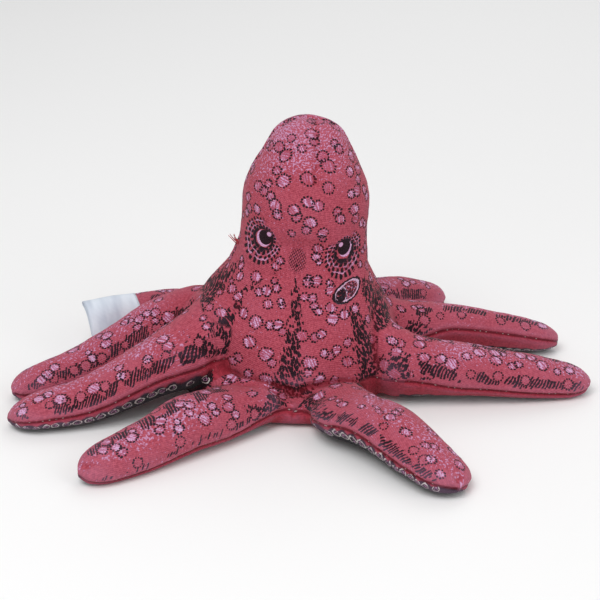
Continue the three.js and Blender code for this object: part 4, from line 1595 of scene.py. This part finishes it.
def make_label():
    """The bare satin label, folded in two and sewn into its arm's outer seam."""
    arm = next(a for a in arms if a.name == LABEL_ARM)
    t = LABEL_ARM_SHARE
    forward = unit(arm.frames(t)[0] * [1, 1, 0])
    side = -np.cross([0.0, 0.0, 1.0], forward)
    lean = math.radians(LABEL_LEAN)
    rise = np.array([0, 0, math.cos(lean)]) + side * math.sin(lean)
    face = np.cross(rise, forward)
    foot = arm.centre(t) + side * arm.girth(t)[0]
    ply = LABEL_FOLD_RADIUS + LABEL_PLY / 2
    bend = math.pi * ply
    total = 2 * LABEL_HEIGHT + bend
    rows = []
    columns = np.linspace(-LABEL_WIDTH / 2, LABEL_WIDTH / 2, LABEL_COLUMNS)
    for s in np.linspace(0, total, LABEL_ROWS):
        if s < LABEL_HEIGHT:
            up, off = s, ply
        elif s < LABEL_HEIGHT + bend:
            turn = (s - LABEL_HEIGHT) / ply
            up, off = LABEL_HEIGHT + ply * math.sin(turn), ply * math.cos(turn)
        else:
            up, off = total - s, -ply
        over, height = label_middle(up)
        curl = math.radians(LABEL_CURL) * max(up / LABEL_HEIGHT - 0.5, 0) * 2
        across = over + off * math.cos(curl)
        height += off * math.sin(curl)
        loose = smoothstep(up / LABEL_HEIGHT)
        wave = loose * LABEL_WAVE * np.sin(columns * 0.24 + up * 0.1)
        middle = foot + rise * height
        rows.append(middle + np.outer(across + wave, face) + np.outer(columns, forward))
    points = np.concatenate(rows)
    first = [i * LABEL_COLUMNS + j for i in range(LABEL_ROWS - 1) for j in range(LABEL_COLUMNS - 1)]
    faces = [[i, i + 1, i + 1 + LABEL_COLUMNS, i + LABEL_COLUMNS] for i in first]
    label = mesh_of("care_label_ribbon", points, faces)
    run = np.repeat(np.linspace(0, total, LABEL_ROWS), LABEL_COLUMNS)
    set_attribute(label.data, "ribbon", np.stack([np.tile(columns, LABEL_ROWS), run, 0 * run], -1))
    label.data.shade_smooth()
    thicken = label.modifiers.new("ply", "SOLIDIFY")
    thicken.thickness = LABEL_PLY * MM
    thicken.offset = 0
    label.data.materials.append(satin())
    bpy.context.view_layer.objects.active = label
    bpy.ops.object.modifier_apply(modifier=thicken.name)
    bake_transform(label)
    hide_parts("care_label")


def make_threads():
    """Loose ends of thread at the left end of the neck."""
    rng = np.random.default_rng(PRINT_SEED)
    points, faces, twist = [], [], []
    for number in range(THREAD_COUNT):
        start = np.array(THREAD_PLACE) + rng.uniform(-0.6, 0.6, 3)
        way = unit(np.array([rng.uniform(-0.75, 0), rng.uniform(-0.5, 0.1), 1.0]))
        bend = rng.uniform(-1, 1, 3) * 0.7
        length = rng.uniform(3.5, 6.5)
        rows = []
        for f in np.linspace(0, 1, 12):
            centre = start + way * length * f + bend * math.sin(f * 2.4)
            radius = THREAD_RADIUS * (1 - 0.6 * f * f)
            around = np.linspace(0, 2 * np.pi, 6, endpoint=False)
            first = unit(np.cross(way, [0.0, 1.0, 0.0]))
            second = np.cross(way, first)
            ring = np.outer(np.cos(around), first) + np.outer(np.sin(around), second)
            rows.append(centre + radius * ring)
            twist += [(f * length, a, 0) for a in around]
        tube_points, tube_faces = closed_form(rows)
        faces += [[i + sum(len(p) for p in points) for i in face] for face in tube_faces]
        points.append(tube_points)
    threads = mesh_of("neck_thread_ends", np.concatenate(points), faces)
    set_attribute(threads.data, "twist", np.array(twist))
    threads.data.shade_smooth()
    threads.data.materials.append(thread_fibre())
    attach(threads, "body")


def aimed(name, data, place, target):
    """A new lamp or camera that looks at a target."""
    obj = bpy.data.objects.new(name, data)
    bpy.context.scene.collection.objects.link(obj)
    obj.location = place
    obj.rotation_euler = (Vector(target) - Vector(place)).to_track_quat("-Z", "Y").to_euler()
    return obj


def make_stage():
    """The pale floor, soft lights and the camera."""
    stage = bpy.context.scene.octopus_stage
    bpy.ops.object.select_all(action="DESELECT")
    bpy.ops.mesh.primitive_plane_add(size=stage.floor_size)
    floor = bpy.context.object
    floor.name = "floor"
    paper, g = new_material("floor_paper")
    darker = [c * 0.985 for c in stage.floor_color[:3]] + [1]
    color = g.mix(g.noise(g.node("ShaderNodeTexCoord")["Object"], 3.0), stage.floor_color, darker)
    g.surface({"Base Color": color, "Roughness": 0.9, "Specular IOR Level": 0.1})
    floor.data.materials.append(paper)
    for name, place, size, power in (
        ("key_light", KEY_PLACE, KEY_SIZE, stage.key_power),
        ("fill_light", FILL_PLACE, FILL_SIZE, stage.fill_power),
        ("back_light", BACK_PLACE, BACK_SIZE, stage.back_power),
    ):
        light = bpy.data.lights.new(name, "AREA")
        light.shape = "DISK"
        light.size = size
        light.energy = power
        aimed(name, light, place, AIM)
    world = bpy.data.worlds.new("studio")
    world.use_nodes = True
    world.node_tree.nodes["Background"].inputs["Color"].default_value = (1, 1, 1, 1)
    world.node_tree.nodes["Background"].inputs["Strength"].default_value = stage.room_light
    bpy.context.scene.world = world
    bpy.context.scene.view_settings.view_transform = "Standard"
    lens = bpy.data.cameras.new("camera")
    lens.lens = stage.lens
    lens.sensor_width = SENSOR_WIDTH
    bpy.context.scene.camera = aimed("camera", lens, CAMERA_PLACE, CAMERA_TARGET)


def color_property(name, description, red, green, blue):
    """A colour given as it looks on a screen, kept in linear light."""
    shares = [c / 255 for c in (red, green, blue)]
    linear = [((c + 0.055) / 1.055) ** 2.4 if c > 0.04045 else c / 12.92 for c in shares]
    return bpy.props.FloatVectorProperty(
        name=name, description=description, subtype="COLOR", size=4, min=0, max=1, default=(*linear, 1)
    )


class OctopusPrint(bpy.types.PropertyGroup):
    """Colours and scale of the printed cloth."""

    weave_pitch: bpy.props.FloatProperty(
        name="Weave pitch", description="Distance between ribs of the twill", default=0.0007, min=0.0002,
        max=0.003, unit="LENGTH", precision=5
    )
    ground_light: color_property("Ground", "Red of the cloth where its threads are light", 187, 84, 100)
    ground_dark: color_property("Ground, dark threads", "Red between the threads", 156, 58, 75)
    ground_faded: color_property("Ground, faded", "Red where the dye is weaker", 184, 94, 116)
    spot_light: color_property("Spot", "Lilac of the spots and speckle", 212, 166, 204)
    spot_dark: color_property("Spot, dark threads", "Lilac between the threads", 172, 100, 138)
    ink: color_property("Ink", "Rings, flecks and the soles of the arms", 13, 11, 20)
    # Painted shade that darkens the cloth in its creases
    painted_crease_shade: color_property("Crease", "Deep red in creases", 122, 18, 34)
    seam: color_property("Seam", "Thread and shade in a seam", 92, 18, 32)
    margin_light: color_property("Margin", "Plain red beside the soles", 172, 56, 72)
    margin_dark: color_property("Margin, dark threads", "Plain red between the threads", 140, 40, 54)
    thread: color_property("Thread", "Red of the loose sewing thread", 224, 62, 74)
    pale: color_property("Pale lines", "Pale lilac lines of the printed siphon", 214, 186, 214)
    sucker_rim: color_property("Sucker rim", "Cream rings of the suckers", 226, 216, 214)
    label: color_property("Label", "White of the care label", 226, 234, 244)
    # Grey of the weave, and of the painted shade along the label's soft folds
    label_weave_and_shade: color_property("Label, shade", "Grey of the care label's weave", 184, 194, 210)


class OctopusStage(bpy.types.PropertyGroup):
    """Floor, lights and lens."""

    floor_color: color_property("Floor", "Colour of the floor", 248, 248, 248)
    floor_size: bpy.props.FloatProperty(
        name="Floor size", description="Side of the square floor", default=12, min=1, unit="LENGTH"
    )
    key_power: bpy.props.FloatProperty(
        name="Key light", description="Power of the main light, in watts", default=4.6, min=0
    )
    fill_power: bpy.props.FloatProperty(
        name="Fill light", description="Power of the side light, in watts", default=1.6, min=0
    )
    back_power: bpy.props.FloatProperty(
        name="Back light", description="Power of the light behind, in watts", default=1.5, min=0
    )
    room_light: bpy.props.FloatProperty(
        name="Room light", description="Strength of the even light of the room", default=0.5, min=0
    )
    lens: bpy.props.FloatProperty(
        name="Lens", description="Focal length of the camera", default=105, min=20, unit="CAMERA"
    )


class OCTOPUS_OT_skins(bpy.types.Operator):
    """Sew, puff and print the skins of the body and the arms"""

    bl_idname = "octopus.skins"
    bl_label = "Body and Arm Skins"

    def execute(self, context):
        make_skins()
        return {"FINISHED"}


class OCTOPUS_OT_label(bpy.types.Operator):
    """Sew on the bare satin care label"""

    bl_idname = "octopus.label"
    bl_label = "Care Label"

    def execute(self, context):
        make_label()
        return {"FINISHED"}


class OCTOPUS_OT_threads(bpy.types.Operator):
    """Add the loose thread ends at the neck"""

    bl_idname = "octopus.threads"
    bl_label = "Thread Ends"

    def execute(self, context):
        make_threads()
        return {"FINISHED"}


class OCTOPUS_OT_stage(bpy.types.Operator):
    """Set the floor, the lights and the camera"""

    bl_idname = "octopus.stage"
    bl_label = "Stage"

    def execute(self, context):
        make_stage()
        return {"FINISHED"}


class OCTOPUS_PT_panel(bpy.types.Panel):
    """Lists the octopus's pieces and looks"""

    bl_label = "Plush Octopus"
    bl_idname = "OCTOPUS_PT_panel"
    bl_space_type = "VIEW_3D"
    bl_region_type = "UI"
    bl_category = "Octopus"

    def draw(self, context):
        layout = self.layout
        for operator in ("skins", "label", "threads", "stage"):
            layout.operator("octopus." + operator)
        for group in (context.scene.octopus_print, context.scene.octopus_stage):
            box = layout.box()
            for name in group.__annotations__:
                box.prop(group, name)


CLASSES = (
    OctopusPrint, OctopusStage, OCTOPUS_OT_skins, OCTOPUS_OT_label, OCTOPUS_OT_threads, OCTOPUS_OT_stage,
    OCTOPUS_PT_panel,
)


def register():
    for cls in CLASSES:
        bpy.utils.register_class(cls)
    bpy.types.Scene.octopus_print = bpy.props.PointerProperty(type=OctopusPrint)
    bpy.types.Scene.octopus_stage = bpy.props.PointerProperty(type=OctopusStage)


def unregister():
    del bpy.types.Scene.octopus_stage
    del bpy.types.Scene.octopus_print
    for cls in reversed(CLASSES):
        bpy.utils.unregister_class(cls)


def main():
    register()
    bpy.ops.octopus.stage()
    bpy.ops.octopus.skins()
    bpy.ops.octopus.label()
    bpy.ops.octopus.threads()


if __name__ == "__main__":
    main()
